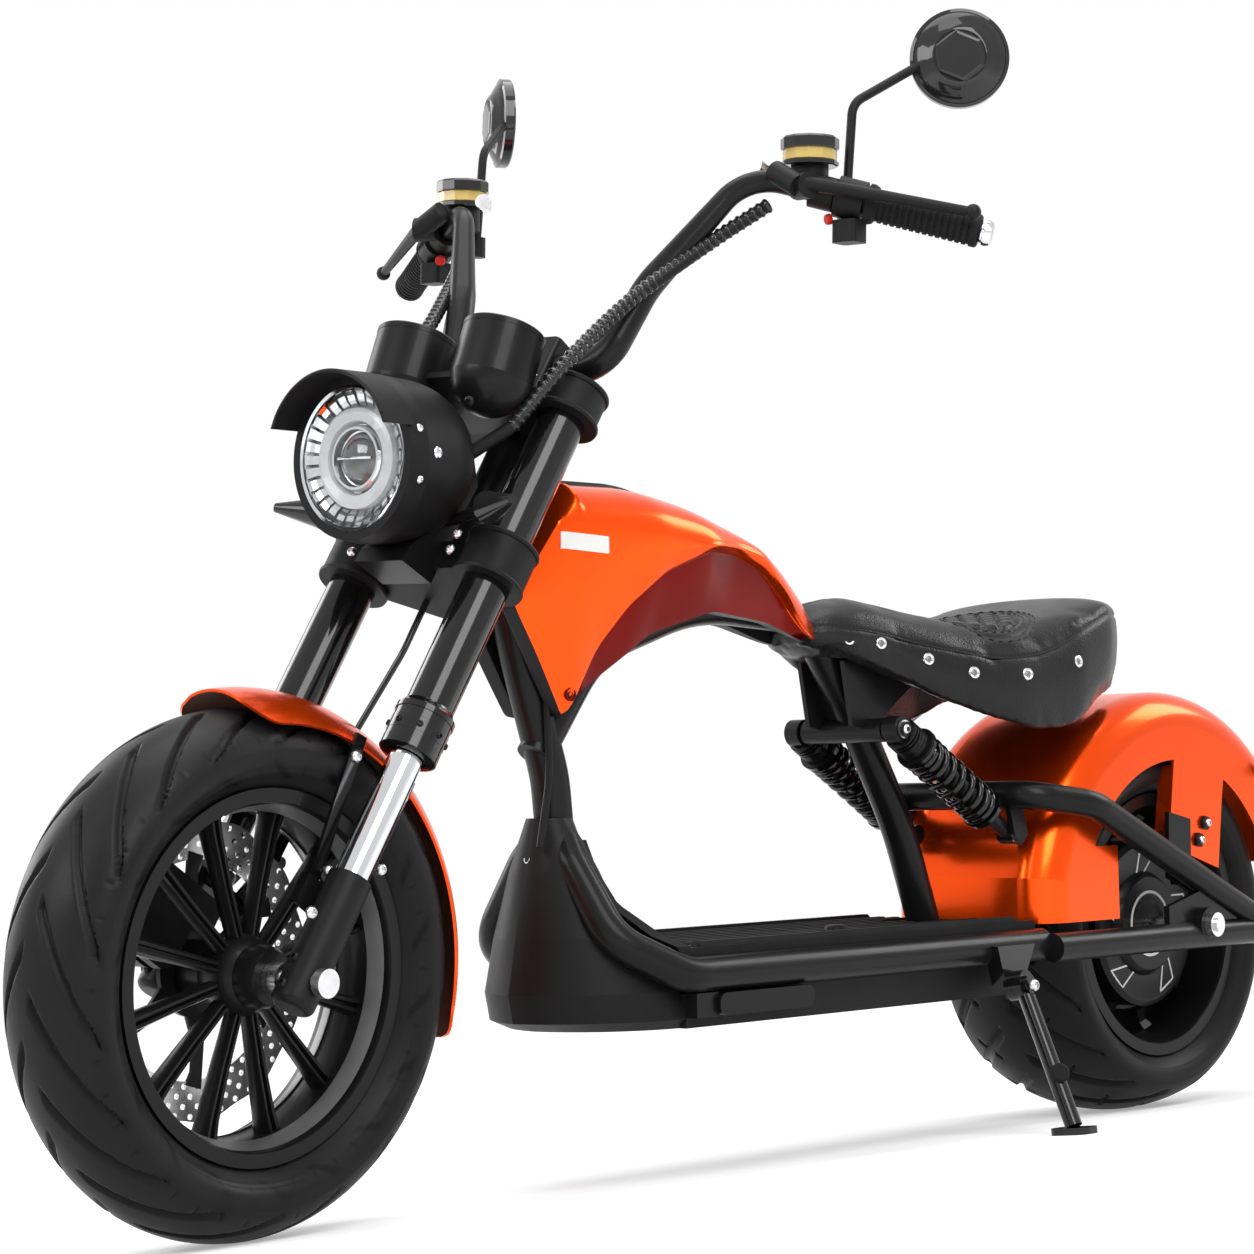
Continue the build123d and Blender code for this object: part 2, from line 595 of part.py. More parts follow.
# Floor: the deck plate between the rails and the mat that also climbs in front of the feet
DECK_HALF = RAIL_X - RAIL_R - 1
DECK_FRONT_Y = -930
with BuildPart() as deck_plate:
    with BuildSketch(Plane.XY.offset(DECK_Z)):
        with Locations((0, (DECK_FRONT_Y + RAIL_END_Y) / 2)):
            Rectangle(2 * DECK_HALF, RAIL_END_Y - DECK_FRONT_Y)
    extrude(amount=8)
    add(main_frame.part, mode=Mode.SUBTRACT)
MAT_HALF = DECK_HALF + 12
MAT_FRONT = [(0, DECK_Z), (MAT_HALF, DECK_Z), (MAT_HALF, MAT_TOP_Z + 2), (92, MAT_TOP_Z + 14), (60, 300),
             (34, 340), (22, 380), (0, 380)]
with BuildPart() as deck_mat:
    with BuildSketch(SIDE.offset(-MAT_HALF)):
        with BuildLine():
            Polyline((RAIL_END_Y, DECK_Z + 8), (-905, DECK_Z + 8), (-948, 300), (-958, 370), (-950, 372),
                     (-938, 306), (-895, MAT_TOP_Z), (RAIL_END_Y, MAT_TOP_Z), close=True)
        make_face()
    extrude(amount=2 * MAT_HALF)
    add(prism(Plane.XZ.offset(-RAIL_END_Y), both_halves(MAT_FRONT), -DECK_FRONT_Y), mode=Mode.INTERSECT)
    with BuildSketch(Plane.XY.offset(DECK_Z)):
        with Locations((0, -352)):
            SlotOverall(2 * ARCH_TUBE_R + 44, 2 * ARCH_TUBE_R + 16, rotation=90)
    extrude(amount=40, mode=Mode.SUBTRACT)
    add(main_frame.part, mode=Mode.SUBTRACT)

# Tank shell: the meet of a side outline, a plan outline and a front outline, with a panel sunk into
# each side behind a curved edge
BODY_SIDE = [(-990, 752), (-892, 761, -800, 746), (-700, 718, -628, 668), (-588, 637, -569, 596),
             (-742, 640, -925, 590), (-972, 550, -1000, 503), (-1071, 625)]
BODY_PLAN = [(0, -1090), (44, -1080), (68, -995, BODY_HALF, -880), (76, -740, 48, -585), (36, -556, 0, -550)]
BODY_FRONT = [(0, 490), (26, 496), (58, 590, BODY_HALF, 700), (74, 742, 34, 760), (0, 765)]
PANEL_SIDE = [(-991, 498), (-958, 574, -914, 620), (-862, 662, -795, 690), (-727, 681, -668, 637),
              (-638, 606, -616, 560), (-616, 480)]
PANEL_DEPTH = 7
PANEL_PLAN = [(0, -1100), (24, -1090), (62, -985, BODY_HALF - PANEL_DEPTH, -880), (69, -740, 41, -585),
              (30, -562, 0, -540)]
full_tank = meet(BODY_SIDE, BODY_PLAN, BODY_FRONT)
panel_rim = prism(SIDE.offset(-BODY_HALF - 5), PANEL_SIDE, 2 * (BODY_HALF + 5))
panel_core = prism(Plane.XY.offset(480), both_halves(PANEL_PLAN), 300)
with BuildPart() as tank_form:
    add(full_tank)
    with BuildPart(mode=Mode.PRIVATE) as panel_cut:
        add(panel_rim)
        add(panel_core, mode=Mode.SUBTRACT)
    add(panel_cut.part, mode=Mode.SUBTRACT)
tank_shell = tank_form.part
body_keepout = [tube(ARCH_ROUTE, [160, 320, 110, 500, 500], ARCH_TUBE_R + SEAT_GAP),
                tube(DOWN_TUBE_ROUTE, [60, 250, 150], DOWN_TUBE_R + SEAT_GAP),
                rod(fork_point(0, head_foot, -FORK_OFFSET), fork_point(0, head_top, -FORK_OFFSET),
                    HEAD_TUBE_R + SEAT_GAP)]
with BuildPart() as tank_body:
    add(tank_shell)
    for keepout in body_keepout:
        add(keepout, mode=Mode.SUBTRACT)
    with BuildSketch(SIDE.offset(-DOWN_TUBE_R - 2)):
        with BuildLine():
            Polyline((-1100, 640), (-1010, 470), (-985, 500), (-1045, 650), (-1060, 700), (-1100, 700),
                     close=True)
        make_face()
    extrude(amount=2 * DOWN_TUBE_R + 4, mode=Mode.SUBTRACT)

STRIP_HALF = 26
with BuildPart() as tank_strip:
    with BuildSketch(SIDE.offset(-STRIP_HALF)):
        with BuildLine():
            outline([(-985, 748), (-830, 748), (-790, 742), (-888, 772, -985, 762)])
        make_face()
    extrude(amount=2 * STRIP_HALF)
    add(tank_body.part, mode=Mode.SUBTRACT)

# Seat: a saddle whose skirt hangs round a hollow, on its pan and brackets
SEAT_SIDE = [(-604, 604), (-588, 632, -540, 636), (-440, 626), (-330, 602, -220, 628), (-180, 640, -130, 646),
             (-70, 640, -46, 578), (-58, 532), (-110, 504, -170, 488), (-262, 470, -350, 490),
             (-430, 524, -480, 548),
             (-560, 572)]
SEAT_PLAN = [(0, -606), (38, -600, 52, -560), (64, -480, 98, -400), (128, -330, SEAT_HALF, -220),
             (134, -118, 70, -52), (36, -40, 0, -38)]
SEAT_FRONT = [(0, 460), (SEAT_HALF + 2, 460), (SEAT_HALF + 2, 556), (128, 590, 92, 610), (50, 640, 0, 656)]
SEAT_HOLLOW = [(0, -575), (34, -570), (50, -490, 84, -400), (116, -320, 130, -220),
               (112, -125, 56, -72), (0, -66)]
PAN_TOP_Z = 574
seat_solid = meet(SEAT_SIDE, SEAT_PLAN, SEAT_FRONT)
with BuildPart() as seat:
    add(seat_solid)
    add(prism(Plane.XY.offset(440), both_halves(SEAT_HOLLOW), PAN_TOP_Z + SEAT_GAP - 440), mode=Mode.SUBTRACT)
    add(body_keepout[0], mode=Mode.SUBTRACT)
    add(tank_shell, mode=Mode.SUBTRACT)
BRACKET_X = 30
with BuildPart() as seat_bracket:
    with BuildSketch(SIDE.offset(BRACKET_X)):
        with BuildLine():
            Polyline((-522, SHOCK_TOP_Z + 6), (-488, SHOCK_TOP_Z + 2), (-370, PAN_TOP_Z - 8),
                     (-535, PAN_TOP_Z - 8), close=True)
        make_face()
    extrude(amount=6)
with BuildPart() as seat_pan:
    with BuildSketch(Plane.XY.offset(PAN_TOP_Z - 8)):
        with Locations((0, -345)):
            RectangleRounded(84, 340, 20)
    extrude(amount=8)
    add(seat_bracket.part)
    add(mirrored(seat_bracket.part))
    add(main_frame.part, mode=Mode.SUBTRACT)

# Shocks: an eye at each end, a damper body and a coil spring drawn as a ribbed sleeve
shock_top = Vector(SHOCK_X, SHOCK_TOP_Y, SHOCK_TOP_Z)
shock_way = Vector(SHOCK_X, SHOCK_FOOT_Y, SHOCK_FOOT_Z) - shock_top
shock_length = shock_way.length
SHOCK_PLANE = Plane(origin=shock_top, x_dir=shock_way, z_dir=(1, 0, 0))
SHOCK_AXIS = Axis(shock_top, shock_way)
SPRING_START = 46
SPRING_COILS = 8
SPRING_PITCH = 17
SPRING_R = 25
SPRING_END = SPRING_START + SPRING_COILS * SPRING_PITCH
DAMPER_R = 13
with BuildPart() as left_shock:
    with BuildSketch(SHOCK_PLANE):
        with BuildLine():
            Polyline((10, 0), (10, DAMPER_R - 3), (24, 20), (SPRING_START - 8, 20),
                     (SPRING_START - 8, SPRING_R),
                     (SPRING_START - SEAT_GAP, SPRING_R), (SPRING_START - SEAT_GAP, DAMPER_R),
                     (SPRING_END + SEAT_GAP, DAMPER_R), (SPRING_END + SEAT_GAP, SPRING_R),
                     (SPRING_END + 5, SPRING_R), (SPRING_END + 5, 11), (shock_length - 8, 9),
                     (shock_length - 8, 0), close=True)
        make_face()
    revolve(axis=SHOCK_AXIS)
    with BuildSketch(SHOCK_PLANE.offset(-10)):
        Circle(16)
        with Locations((shock_length, 0)):
            Circle(12)
    extrude(amount=20)
    with BuildSketch(SHOCK_PLANE.offset(-20)):
        Circle(CROSS_TUBE_R - 5 + SEAT_GAP)
        with Locations((shock_length, 0)):
            Circle(6 + SEAT_GAP)
    extrude(amount=40, mode=Mode.SUBTRACT)
with BuildPart() as left_spring:
    with BuildSketch(SHOCK_PLANE):
        with Locations(((SPRING_START + SPRING_END) / 2, DAMPER_R + SEAT_GAP + 2.5)):
            Rectangle(SPRING_END - SPRING_START, 5)
        coil_spots = [(SPRING_START + SPRING_PITCH * (turn + 0.5), SPRING_R - 5)
                      for turn in range(SPRING_COILS)]
        with Locations(*coil_spots):
            Circle(4.6)
    revolve(axis=SHOCK_AXIS)
shock_bodies = Compound(children=[left_shock.part, mirrored(left_shock.part)])
shock_springs = Compound(children=[left_spring.part, mirrored(left_spring.part)])

# Rear fender: a wide hoop with a deep skirt in front and open sides, its tail box and its side tabs
FENDER_CENTRE_Y = 6
FENDER_FRONT_Y = -278
FENDER_SKIRT_Z = REAR_TYRE_R + 13
FENDER_TAIL_Z = REAR_TYRE_R + 59
CUTOUT_R = FENDER_R - 86
TAB_SIDE = [(-6, 209), (104, 195), (97, 159), (84, 67), (0, 92), (-20, 118)]
TAIL_BOX_SIDE = [(120, 259), (196, 263), (214, 203), (150, 243)]
TAIL_LAMP_SIDE = [(197, 261), (210, 257), (226, 209), (215, 203.5)]


def fender_form(inset, round_r, foot_z):
    """The fender's outer or inner form: a hoop over the wheel that drops straight at its front."""
    hoop = FENDER_R - inset
    front_y = FENDER_FRONT_Y + inset
    front_z = REAR_TYRE_R + sqrt(hoop**2 - (front_y - FENDER_CENTRE_Y)**2)
    tail_y = FENDER_CENTRE_Y + sqrt(hoop**2 - (FENDER_TAIL_Z - REAR_TYRE_R)**2)
    with BuildPart() as form:
        with BuildSketch(SIDE.offset(-FENDER_HALF + inset)):
            with BuildLine():
                ThreePointArc((front_y, front_z), (FENDER_CENTRE_Y, REAR_TYRE_R + hoop),
                              (tail_y, FENDER_TAIL_Z))
                Polyline((tail_y, FENDER_TAIL_Z), (tail_y, foot_z), (front_y, foot_z), (front_y, front_z))
            make_face()
        extrude(amount=2 * (FENDER_HALF - inset))
        hoop_edges = form.edges().filter_by(GeomType.CIRCLE) + [
            edge for edge in form.edges().filter_by(Axis.Z) if edge.center().Y < 0]
        fillet(hoop_edges, round_r)
    return form.part


fender_outer = fender_form(0, 44, FENDER_SKIRT_Z)
fender_inner = fender_form(FENDER_WALL, 40, FENDER_SKIRT_Z - 20)
with BuildPart() as fender_tab:
    with BuildSketch(SIDE.offset(FENDER_HALF - FENDER_WALL)):
        with Locations((0, REAR_TYRE_R)):
            Polygon(*TAB_SIDE, align=None)
    extrude(amount=FENDER_WALL)
with BuildPart() as rear_fender:
    add(fender_outer)
    add(fender_inner, mode=Mode.SUBTRACT)
    with BuildSketch(SIDE.offset(-FENDER_HALF - 5)):
        with Locations((0, REAR_TYRE_R)):
            Circle(CUTOUT_R)
        with Locations((FENDER_FRONT_Y + 101, REAR_TYRE_R + 53)):
            Rectangle(90, 100, mode=Mode.SUBTRACT)
        with Locations((200, REAR_TYRE_R + 3)):
            Rectangle(300, 130)
    extrude(amount=2 * FENDER_HALF + 10, mode=Mode.SUBTRACT)
    add(fender_tab.part)
    add(mirrored(fender_tab.part))
    with BuildSketch(SIDE.offset(-42)):
        with Locations((0, REAR_TYRE_R)):
            Polygon(*TAIL_BOX_SIDE, align=None)
    extrude(amount=84)

# Rear lamp below the tail box and a signal on each side of it
with BuildPart() as tail_lamp:
    with BuildSketch(SIDE.offset(-38)):
        with Locations((0, REAR_TYRE_R)):
            Polygon(*TAIL_LAMP_SIDE, align=None)
    extrude(amount=76)
    add(rear_fender.part, mode=Mode.SUBTRACT)


def signal_lamp(root, tip, stalk_r, body_r, tip_r):
    """A signal on its stalk: a rod that opens into a wedge and narrows again to the tip."""
    root = Vector(*root)
    reach = Vector(*tip) - root
    with BuildPart() as lamp:
        add(rod(root, root + reach * 0.55, stalk_r))
        add(rod(root + reach * 0.5, root + reach * 0.64, stalk_r + 1, body_r))
        add(rod(root + reach * 0.64, root + reach, body_r, tip_r))
    return lamp.part


with BuildPart() as left_rear_signal:
    add(signal_lamp((92, 199, REAR_TYRE_R + 198), (168, 226, REAR_TYRE_R + 188), 5, 15, 6))
    add(fender_outer, mode=Mode.SUBTRACT)
rear_signals = Compound(children=[left_rear_signal.part, mirrored(left_rear_signal.part)])

# Front fender: a round strip over the tyre's rear quarter, with its straps
FRONT_FENDER_R = 277
FRONT_FENDER_EDGE_R = 243
FRONT_FENDER_HALF = 66
FRONT_FENDER_LOW = -17
FRONT_FENDER_HIGH = 97
FRONT_FENDER_WALL = 3


def spoke_plane(centre, angle):
    """A plane through a wheel's axle, its y pointing outwards at an angle above the rear horizontal."""
    turn = radians(angle)
    return Plane(origin=centre, x_dir=(1, 0, 0), z_dir=(0, -sin(turn), cos(turn)))


with BuildPart() as front_fender:
    with BuildSketch(spoke_plane(FRONT_AXLE, FRONT_FENDER_LOW)):
        inner_half = FRONT_FENDER_HALF - FRONT_FENDER_WALL
        with BuildLine():
            outline([(-FRONT_FENDER_HALF, FRONT_FENDER_EDGE_R),
                     (0, FRONT_FENDER_R, FRONT_FENDER_HALF, FRONT_FENDER_EDGE_R),
                     (inner_half, FRONT_FENDER_EDGE_R - 1),
                     (0, FRONT_FENDER_R - FRONT_FENDER_WALL, -inner_half, FRONT_FENDER_EDGE_R - 1)])
        make_face()
    revolve(axis=Axis(FRONT_AXLE, (1, 0, 0)), revolution_arc=FRONT_FENDER_HIGH - FRONT_FENDER_LOW)
STRAP_X = FRONT_FENDER_HALF + SEAT_GAP
STRAP_THICK = 4
STRAP_WIDTH = 14
STRAP_LINES = [
    [(84, 21), (115, 21), (180, 32), (248, 42)],
    [(92, -22), (145, -39), (248, -40)],
]
with BuildPart() as left_straps:
    for strap_points in STRAP_LINES:
        with BuildSketch(Plane(origin=FRONT_AXLE, x_dir=ALONG, z_dir=(1, 0, 0)).offset(STRAP_X)):
            with BuildLine():
                Polyline(*strap_points)
            trace(line_width=STRAP_WIDTH)
        extrude(amount=STRAP_THICK)
    with BuildSketch(FORK.offset(66)):
        with Locations((STRAP_X + STRAP_THICK + 5, 0)):
            Rectangle(10, 76)
    extrude(amount=30)
    with BuildSketch(FORK.offset(60)):
        with Locations((LEG_X, 0)):
            Circle(LOWER_R + RUNNING_FIT)
    extrude(amount=60, mode=Mode.SUBTRACT)
fender_straps = Compound(children=[left_straps.part, mirrored(left_straps.part)])

# Front caliper on the right leg, over the disc's rim
CALIPER_STATION = 20
CALIPER_AHEAD = (38, 157)
CALIPER_OUTER_X = -88
CALIPER_INNER_X = -42
WHEEL_CLEAR = 5
with BuildPart() as front_caliper:
    with BuildSketch(Plane(origin=FRONT_AXLE, x_dir=ALONG, z_dir=(1, 0, 0)).offset(CALIPER_OUTER_X)):
        with Locations((CALIPER_STATION, sum(CALIPER_AHEAD) / 2)):
            RectangleRounded(92, CALIPER_AHEAD[1] - CALIPER_AHEAD[0], 16)
        with Locations((CALIPER_STATION + 30, CALIPER_AHEAD[0])):
            Rectangle(30, 50)
    extrude(amount=CALIPER_INNER_X - CALIPER_OUTER_X)
    with BuildSketch(wheel_plane(FRONT_AXLE).offset(FRONT_DISC_X - 3)):
        Circle(FRONT_DISC_R + 4)
    extrude(amount=DISC_THICK + 6, mode=Mode.SUBTRACT)
    with BuildSketch(wheel_plane(FRONT_AXLE).offset(-FRONT_RIM_HALF - WHEEL_CLEAR)):
        Circle(FRONT_FLANGE_R + 20)
        Circle(FRONT_SEAT_R - RIM_WALL - WHEEL_CLEAR, mode=Mode.SUBTRACT)
    extrude(amount=60, mode=Mode.SUBTRACT)
    with BuildSketch(wheel_plane(FRONT_AXLE).offset(FRONT_DISC_X + DISC_THICK)):
        Circle(FRONT_HUB_R + WHEEL_CLEAR)
    extrude(amount=60, mode=Mode.SUBTRACT)
    with BuildSketch(FORK.offset(LOWER_FOOT - 40)):
        with Locations((-LEG_X, 0)):
            Circle(LOWER_R + RUNNING_FIT)
    extrude(amount=300, mode=Mode.SUBTRACT)

# Headlamp: a bullet shell with a visor, its reflector and lens, and the bracket that holds it
LAMP_CENTRE = Vector(0, -1262, 764)
LAMP_R = 83
LENS_R = 74
LAMP_PLANE = Plane(origin=LAMP_CENTRE, x_dir=(0, 1, 0), z_dir=(1, 0, 0))
LAMP_AXIS = Axis(LAMP_CENTRE, (0, 1, 0))
with BuildPart() as headlamp_shell:
    with BuildSketch(LAMP_PLANE):
        with BuildLine():
            Polyline((62, 0), (50, LENS_R - 20), (4, LENS_R + SEAT_GAP), (0, LENS_R + SEAT_GAP), (0, LAMP_R),
                     (24, LAMP_R + 3), (62, LAMP_R + 1))
            ThreePointArc((62, LAMP_R + 1), (112, 64), (140, 20))
            Polyline((140, 20), (140, 0), (62, 0))
        make_face()
    revolve(axis=LAMP_AXIS)
    with BuildSketch(Plane(origin=LAMP_CENTRE, x_dir=(1, 0, 0), z_dir=(0, -1, 0)).offset(-6)):
        Circle(LAMP_R + 4)
        Circle(LAMP_R, mode=Mode.SUBTRACT)
        with Locations((0, -70)):
            Rectangle(200, 200, mode=Mode.SUBTRACT)
    extrude(amount=40)
with BuildPart() as headlamp_reflector:
    with BuildSketch(LAMP_PLANE):
        with BuildLine():
            Polyline((61, 0), (49.5, LENS_R - 20.5), (6, LENS_R - 1), (6, LENS_R - 4), (46, LENS_R - 24),
                     (57, 0), close=True)
        make_face()
    revolve(axis=LAMP_AXIS)
    with BuildSketch(Plane(origin=LAMP_CENTRE, x_dir=(1, 0, 0), z_dir=(0, 1, 0)).offset(18)):
        Circle(30)
        Circle(26, mode=Mode.SUBTRACT)
    extrude(amount=34)
LENS_EDGE = 4
LENS_BULGE = 9
bulge_r = (LENS_R**2 + LENS_BULGE**2) / (2 * LENS_BULGE)
with BuildPart(Plane(origin=LAMP_CENTRE, x_dir=(1, 0, 0), z_dir=(0, 1, 0))) as headlamp_lens:
    with Locations((0, 0, -LENS_BULGE)):
        Cylinder(LENS_R, LENS_BULGE + LENS_EDGE, align=(Align.CENTER, Align.CENTER, Align.MIN))
    with Locations((0, 0, bulge_r - LENS_BULGE)):
        Sphere(bulge_r, mode=Mode.INTERSECT)
lamp_foot = fork_point(0, LOWER_CLAMP + LOWER_CLAMP_THICK * 0.5, 20)
with BuildPart() as headlamp_bracket:
    with BuildSketch(SIDE.offset(-34)):
        with BuildLine():
            Polyline((lamp_foot.Y, lamp_foot.Z - 10), (lamp_foot.Y + 30, lamp_foot.Z + 40), (-1112, 742),
                     (-1120, 780), (-1150, 742), (-1190, 690), (-1212, 676), (-1222, 662),
                     (-1180, 640), close=True)
        make_face()
    extrude(amount=68)
    add(headlamp_shell.part, mode=Mode.SUBTRACT)
    add(triple_clamps.part, mode=Mode.SUBTRACT)
    add(fork_tubes.part, mode=Mode.SUBTRACT)

# Front signals: a stalk and a wedge-shaped lamp on each side
with BuildPart() as left_front_signal:
    add(signal_lamp((30, -1152, 704), (168, -1206, 721), 6, 17, 5))
    add(headlamp_bracket.part, mode=Mode.SUBTRACT)
    add(headlamp_shell.part, mode=Mode.SUBTRACT)
front_signals = Compound(children=[left_front_signal.part, mirrored(left_front_signal.part)])

# Instruments: two cups with domed feet, open to the rider, on a plate from the upper clamp
POD_X = 62
POD_TILT = 21
POD_R = 43
POD_FOOT = Vector(POD_X, -1138, 812)
pod_way = Vector(0, sin(radians(POD_TILT)), cos(radians(POD_TILT)))
POD_PLANE = Plane(origin=POD_FOOT, x_dir=pod_way, z_dir=(1, 0, 0))
with BuildPart() as left_pod:
    with BuildSketch(POD_PLANE):
        with BuildLine():
            ThreePointArc((0, 0), (12, 28), (38, POD_R))
            Polyline((38, POD_R), (92, POD_R), (92, POD_R - 4), (86, POD_R - 4), (86, 0), (0, 0))
        make_face()
    revolve(axis=Axis(POD_FOOT, pod_way))
instrument_pods = Compound(children=[left_pod.part, mirrored(left_pod.part)])
with BuildPart() as pod_bracket:
    with BuildSketch(FORK.offset(UPPER_CLAMP - 8)):
        with Locations((0, -50)):
            Rectangle(2 * POD_X + 30, 88)
    extrude(amount=8 - SEAT_GAP)
    with BuildSketch(FORK.offset(UPPER_CLAMP - 8)):
        with Locations((0, -12)):
            Rectangle(60, 30)
    extrude(amount=8 + UPPER_CLAMP_THICK * 0.15 - SEAT_GAP)
    add(fork_tubes.part, mode=Mode.SUBTRACT)
    add(left_pod.part, mode=Mode.SUBTRACT)
    add(mirrored(left_pod.part), mode=Mode.SUBTRACT)
    add(triple_clamps.part, mode=Mode.SUBTRACT)

# Handlebar: a swelling tube from grip to grip, on two risers
GRIP_END = Vector(415, -758, 1014)
BAR_KNEE = Vector(205, -884, 1078)
BAR_WAIST = Vector(133, -962, 956)
BAR_BEND = Vector(110, -1006, 870)
BAR_R = 11
BAR_FOOT_R = 16
bar_half = [GRIP_END, BAR_KNEE, BAR_WAIST, BAR_BEND]
bar_route = bar_half + [Vector(-point.X, point.Y, point.Z) for point in reversed(bar_half)]
bar_radii = [BAR_R, BAR_R + 1, BAR_FOOT_R - 1, BAR_FOOT_R]
with BuildPart() as handlebar:
    add(swelling_tube(bar_route, [60, 120, 40, 40, 120, 60], bar_radii + bar_radii[::-1]))
RISER_X = 38
with BuildPart() as risers:
    with BuildSketch(FORK.offset(UPPER_CLAMP + UPPER_CLAMP_THICK * 0.85 + SEAT_GAP)):
        with Locations((RISER_X, 6), (-RISER_X, 6)):
            RectangleRounded(30, 46, 6)
    extrude(amount=68)
    add(rod((-60, BAR_BEND.Y, BAR_BEND.Z), (60, BAR_BEND.Y, BAR_BEND.Z), BAR_FOOT_R + RUNNING_FIT),
        mode=Mode.SUBTRACT)
grip_way = (GRIP_END - BAR_KNEE).normalized()
GRIP_LENGTH = 122
GRIP_R = 16.5


def along_bar(distance, up=0, ahead=0):
    """A point beside the bar's left end, counted inwards from the grip's end."""
    return GRIP_END - grip_way * distance + Vector(0, -ahead, up)


def bar_ring(start, length, radius):
    """A ring clamped round the bar."""
    with BuildPart(Plane(origin=along_bar(start), z_dir=grip_way * -1)) as ring:
        Cylinder(radius, length, align=(Align.CENTER, Align.CENTER, Align.MIN))
        Cylinder(BAR_R + 1 + RUNNING_FIT, length, align=(Align.CENTER, Align.CENTER, Align.MIN),
                 mode=Mode.SUBTRACT)
    return ring.part


left_grip = bar_ring(2, GRIP_LENGTH, GRIP_R)
grips = Compound(children=[left_grip, mirrored(left_grip)])
left_cap = rod(along_bar(-SEAT_GAP), along_bar(-SEAT_GAP - 10), 14)
bar_ends = Compound(children=[left_cap, mirrored(left_cap)])
lever_root = along_bar(176, 6, 40)
LEVER_TIP = Vector(426, -790, 1030)
with BuildPart() as left_controls:
    add(bar_ring(2 + GRIP_LENGTH + SEAT_GAP + 2, 30, 22))
    add(bar_ring(2 + GRIP_LENGTH + SEAT_GAP + 34, 26, 18))
    add(rod(along_bar(186, 0, 20), along_bar(158, 6, 44), 14))
    add(rod(along_bar(212, 10, 20), along_bar(172, 2, 42), 12))
    add(rod((251, -838, 1060), (251, -838, 1087 - SEAT_GAP), 20))
    add(rod((268, -795, 1036), (268, -795, 1059.2), 10))
    add(rod((268, -795, 1046), (280, -840, 1052), 8))
    add(rod(lever_root, LEVER_TIP, 8, 5))
    with Locations(LEVER_TIP):
        Sphere(8.5)
    with BuildSketch(Plane(origin=along_bar(140, -22, 4), z_dir=(0, 0, -1))):
        RectangleRounded(30, 26, 5)
    extrude(amount=24)
    add(rod(GRIP_END, GRIP_END - grip_way * 190, BAR_R + 1 + RUNNING_FIT), mode=Mode.SUBTRACT)
    add(handlebar.part, mode=Mode.SUBTRACT)
controls = Compound(children=[left_controls.part, mirrored(left_controls.part)])
RESERVOIR_R = 31
with BuildPart(Plane.XY.offset(1087)) as left_reservoir:
    with Locations((251, -838)):
        Cylinder(RESERVOIR_R, 32, align=(Align.CENTER, Align.CENTER, Align.MIN))
reservoirs = Compound(children=[left_reservoir.part, mirrored(left_reservoir.part)])

# Mirrors: a bent stalk and a round dished back, with the glass facing the rider
MIRROR_CENTRE = Vector(330, -678, 1216)
MIRROR_R = 53
mirror_normal = Vector(0.6, -0.8, 0)
stalk = tube([(268, -795, 1060), (268, -786, 1160), MIRROR_CENTRE + mirror_normal * 8 + Vector(-30, -22, -4)],
             [24], 5)
with BuildPart() as left_mirror:
    add(rod(MIRROR_CENTRE, MIRROR_CENTRE + mirror_normal * 12, MIRROR_R, MIRROR_R - 4))
    add(rod(MIRROR_CENTRE + mirror_normal * 12, MIRROR_CENTRE + mirror_normal * 24, MIRROR_R - 4, 30))
    add(stalk)
    add(rod(MIRROR_CENTRE - mirror_normal * 1, MIRROR_CENTRE + mirror_normal * 3, MIRROR_R - 4),
        mode=Mode.SUBTRACT)
mirrors = Compound(children=[left_mirror.part, mirrored(left_mirror.part)])
left_glass = rod(MIRROR_CENTRE + mirror_normal * 0.5, MIRROR_CENTRE + mirror_normal * (3 - SEAT_GAP),
                 MIRROR_R - 4 - SEAT_GAP)
mirror_glass = Compound(children=[left_glass, mirrored(left_glass)])

# Wrapped harness from the controls to the head, and the hose from the clamp to the caliper
HARNESS_R = 7
HARNESS_ROUTE = [(220, -868, 1046), (184, -912, 1008), (144, -990, 945), (118, -1068, 872), (84, -1118, 800),
                 (54, -1152, 770)]
with BuildPart() as left_harness:
    add(tube(HARNESS_ROUTE, [40, 90, 70, 50], HARNESS_R))
    for neighbour in (handlebar, left_controls, headlamp_shell, left_pod, pod_bracket):
        add(neighbour.part, mode=Mode.SUBTRACT)
harness = Compound(children=[left_harness.part, mirrored(left_harness.part)])
HOSE_R = 3.5
HOSE_STATIONS = [(-20, LOWER_CLAMP + 14, -36), (-24, 400, -40), (-60, 301, -57), (-97, 200, -56),
                 (-114, 120, -42),
                 (-134, 60, -6), (-128, 30, 34), (-86, 22, 50)]
with BuildPart() as brake_hose:
    add(tube([fork_point(*station) for station in HOSE_STATIONS], [60, 90, 70, 50, 30, 24], HOSE_R))
    for neighbour in (triple_clamps, front_caliper):
        add(neighbour.part, mode=Mode.SUBTRACT)

